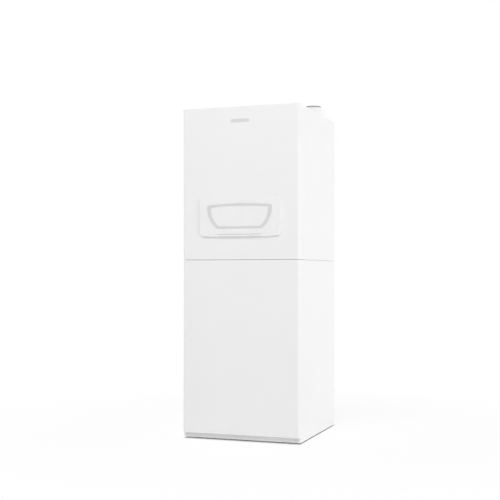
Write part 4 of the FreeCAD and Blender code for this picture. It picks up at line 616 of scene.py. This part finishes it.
minus = [(stroke(KEY_MARK, KEY_STROKE), on_key("button_minus"))]
piece("minus_mark", minus, "minus_key", "dial_white")
plus = [(stroke(length, width), on_key("button_plus"))
        for length, width in ((KEY_MARK, KEY_STROKE), (KEY_STROKE, KEY_MARK))]
piece("plus_mark", plus, "plus_key", "dial_white")
arrow = sheet([(KEY_MARK / 2 - 2 * KEY_STROKE, 0), (KEY_MARK / 2 + KEY_STROKE, 0),
               (KEY_MARK / 2 - KEY_STROKE / 2, 2 * KEY_STROKE)], MARK_WALL)
arrow_place = on_key("button_reset") @ Matrix.Rotation(TURN_START + TURN_SWEEP, 4, "Z")
turn_back = [(key_ring(TURN_START, TURN_SWEEP), on_key("button_reset")), (arrow, arrow_place)]
piece("reset_mark", turn_back, "reset_key", "dial_white")

SWITCH_MARK_GAP = 8 * MM
rocker_low, rocker_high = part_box("power_rocker")
rocker_x = middle("power_rocker").x
on_spot = Vector((rocker_x, fascia_face, rocker_high.z + SWITCH_MARK_GAP))
off_spot = Vector((rocker_x, fascia_face, rocker_low.z - SWITCH_MARK_GAP))
power = [(stroke(KEY_STROKE, KEY_MARK), facing("front", on_spot)), (key_ring(), facing("front", off_spot))]
piece("power_marks", power, "cabinet", "dial_white")


# Fasteners inside the casing

FLANGE_INSET = 7 * MM
FLANGE_WALL = 8 * MM
FLANGE_BOLTS = 5
hood_low, hood_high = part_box("burner_hood")
flange_top = hood_low.z + FLANGE_WALL
flange_x = spread(hood_low.x + FLANGE_INSET, hood_high.x - FLANGE_INSET, FLANGE_BOLTS)
flange_y = spread(hood_low.y + FLANGE_INSET, hood_high.y - FLANGE_INSET, FLANGE_BOLTS)
flange = [Vector((x, y, flange_top)) for x in flange_x for y in (flange_y[0], flange_y[-1])]
flange += [Vector((x, y, flange_top)) for x in (flange_x[0], flange_x[-1]) for y in flange_y[1:-1]]
screws("hood_bolts", "cabinet", "up", flange)

REARWARD = Vector((0, 1, 0))
SMALL_SCREW = 0.6


def seats(node, spots):
    """Where lines from the front, at the given X and Z, meet a node."""
    starts = [Vector((x, cad_box[0][1], z)) for x, z in spots]
    return [nodes[node].ray_cast(start, REARWARD)[1] for start in starts]


def corners(left, right, bottom, top, inset):
    """The X and Z of four places inside the corners of an upright rectangle."""
    return [(x, z) for x in (left + inset, right - inset) for z in (bottom + inset, top - inset)]


FASCIA_SCREW_INSET = 13 * MM
fascia_spots = corners(fascia_low.x, fascia_high.x, fascia_low.z, fascia_high.z, FASCIA_SCREW_INSET)
screws("fascia_screws", "cabinet", "front", seats("control_fascia", fascia_spots), SMALL_SCREW)

VENTURI_SCREW_INSET = 9 * MM
VENTURI_SCREW_ANGLES = [math.radians(angle) for angle in (60, 120, 180, 240, 300)]
venturi_low, venturi_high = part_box("venturi")
venturi = middle("venturi")
screw_circle = (venturi_high.x - venturi_low.x) / 2 - VENTURI_SCREW_INSET
venturi_spots = [(venturi.x + screw_circle * math.cos(angle), venturi.z + screw_circle * math.sin(angle))
                 for angle in VENTURI_SCREW_ANGLES]
screws("venturi_screws", "cabinet", "front", seats("venturi", venturi_spots))

VALVE_SCREW_INSET = 11 * MM
VALVE_WIDTH = 66 * MM
VALVE_HEIGHT = 104 * MM
valve_low, valve_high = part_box("gas_valve")
valve_spots = corners(valve_high.x - VALVE_WIDTH, valve_high.x, valve_low.z, valve_low.z + VALVE_HEIGHT,
                      VALVE_SCREW_INSET)
screws("valve_screws", "cabinet", "front", seats("gas_valve", valve_spots), SMALL_SCREW)


# Floor and sky

FLOOR_REACH = 40.0
FLOOR_COLOUR = (0.88, 0.88, 0.88, 1)
FLOOR_SHOWN = (0.12, 0.12, 0.12, 1)
FLOOR_GLOW = 0.892
FLOOR_NEAR = 1.0
FLOOR_FAR = 2.0
FOOTPRINT = (front_high.x, -front_low.y)
WHITE = (1.0, 1.0, 1.0, 1)
SHOWN_WHITE = 1.0
WORLD_LIGHT = 0.42


def combined(tree, operation, first, second):
    """A value worked out from a socket and another socket or a number."""
    node = tree.nodes.new("ShaderNodeMath")
    node.operation = operation
    tree.links.new(first, node.inputs[0])
    if isinstance(second, float):
        node.inputs[1].default_value = second
    else:
        tree.links.new(second, node.inputs[1])
    return node.outputs[0]


def coloured(tree, kind, colour, strength=None):
    """A shader of one colour, of a given strength if it shines."""
    node = tree.nodes.new(kind)
    node.inputs["Color"].default_value = colour
    if strength is not None:
        node.inputs["Strength"].default_value = strength
    return node.outputs[0]


def joined(tree, kind, *sources):
    """A node of a kind whose sockets take the sources in order."""
    node = tree.nodes.new(kind)
    for source, socket in zip(sources, node.inputs):
        tree.links.new(source, socket)
    return node.outputs[0]


def seen_directly(tree):
    """One where a camera, mirror or glass sees the surface, and zero for light on the object."""
    path = tree.nodes.new("ShaderNodeLightPath").outputs
    seen = combined(tree, "MAXIMUM", path["Is Camera Ray"], path["Is Glossy Ray"])
    return combined(tree, "MAXIMUM", seen, path["Is Transmission Ray"])


def under_the_object(tree):
    """One under the casing and zero beside it."""
    apart = tree.nodes.new("ShaderNodeVectorMath")
    apart.operation = "ABSOLUTE"
    tree.links.new(tree.nodes.new("ShaderNodeTexCoord").outputs["Object"], apart.inputs[0])
    axes = tree.nodes.new("ShaderNodeSeparateXYZ")
    tree.links.new(apart.outputs[0], axes.inputs[0])
    within = [combined(tree, "LESS_THAN", axes.outputs[axis], reach) for axis, reach in zip("XY", FOOTPRINT)]
    return combined(tree, "MULTIPLY", *within)


def far_away(tree):
    """Zero near the object, growing to one in the distance."""
    distance = tree.nodes.new("ShaderNodeVectorMath")
    distance.operation = "LENGTH"
    tree.links.new(tree.nodes.new("ShaderNodeTexCoord").outputs["Object"], distance.inputs[0])
    fade = tree.nodes.new("ShaderNodeMapRange")
    fade.inputs["From Min"].default_value = FLOOR_NEAR
    fade.inputs["From Max"].default_value = FLOOR_FAR
    tree.links.new(distance.outputs["Value"], fade.inputs["Value"])
    return fade.outputs["Result"]


def floor_material():
    """A pale floor that looks white and keeps the object's shadow."""
    material = bpy.data.materials.new("pale_floor")
    material.use_nodes = True
    tree = material.node_tree
    tree.nodes.clear()
    plain = coloured(tree, "ShaderNodeBsdfDiffuse", FLOOR_COLOUR)
    shown = coloured(tree, "ShaderNodeBsdfDiffuse", FLOOR_SHOWN)
    glow = coloured(tree, "ShaderNodeEmission", WHITE, FLOOR_GLOW)
    white = coloured(tree, "ShaderNodeEmission", WHITE, SHOWN_WHITE)
    near = joined(tree, "ShaderNodeAddShader", shown, glow)
    beside = joined(tree, "ShaderNodeMixShader", far_away(tree), near, white)
    seen = joined(tree, "ShaderNodeMixShader", under_the_object(tree), beside, plain)
    surface = joined(tree, "ShaderNodeMixShader", seen_directly(tree), plain, seen)
    output = tree.nodes.new("ShaderNodeOutputMaterial")
    tree.links.new(surface, output.inputs["Surface"])
    return material


def light_world():
    """An even sky that lights the object and shows as white."""
    world = bpy.data.worlds.new("studio")
    bpy.context.scene.world = world
    world.use_nodes = True
    tree = world.node_tree
    tree.nodes.clear()
    light = coloured(tree, "ShaderNodeBackground", WHITE, WORLD_LIGHT)
    shown = coloured(tree, "ShaderNodeBackground", WHITE, SHOWN_WHITE)
    surface = joined(tree, "ShaderNodeMixShader", seen_directly(tree), light, shown)
    output = tree.nodes.new("ShaderNodeOutputWorld")
    tree.links.new(surface, output.inputs["Surface"])


bpy.ops.mesh.primitive_plane_add(size=2 * FLOOR_REACH)
floor = bpy.context.active_object
floor.name = "floor"
floor.data.materials.append(floor_material())
light_world()


# Lamps and camera

BODY_MIDDLE = Vector((0, 0, 0.9))
CAMERA_PLACE = (1.632, -4.767, 0.809)
CAMERA_TURN = (math.radians(90), 0, math.radians(19.58))
CAMERA_LENS = 70.5
CAMERA_SENSOR = 36.0
CAMERA_SHIFT = 0.0482


def softbox(name, place, size, power):
    """A large soft lamp that faces the object."""
    lamp = bpy.data.lights.new(name, "AREA")
    lamp.shape = "SQUARE"
    lamp.size = size
    lamp.energy = power
    holder = bpy.data.objects.new(name, lamp)
    bpy.context.scene.collection.objects.link(holder)
    holder.location = place
    holder.rotation_euler = (BODY_MIDDLE - Vector(place)).to_track_quat("-Z", "Y").to_euler()


def photo_camera():
    """A level camera at the photograph's viewing angle."""
    camera = bpy.data.cameras.new("camera")
    camera.lens = CAMERA_LENS
    camera.sensor_width = CAMERA_SENSOR
    camera.shift_y = CAMERA_SHIFT
    holder = bpy.data.objects.new("camera", camera)
    bpy.context.scene.collection.objects.link(holder)
    holder.location = CAMERA_PLACE
    holder.rotation_euler = CAMERA_TURN
    return holder


softbox("side", place=(8.0, 6.1, 0.9), size=4.0, power=373)
softbox("far_side", place=(-4.9, 1.35, 0.9), size=3.0, power=70)
softbox("main", place=(0.0, -6.5, 6.8), size=4.0, power=292)
softbox("glance", place=(13.0, -6.0, 0.9), size=4.0, power=556)
bpy.context.scene.camera = photo_camera()
bpy.context.scene.view_settings.view_transform = "Standard"
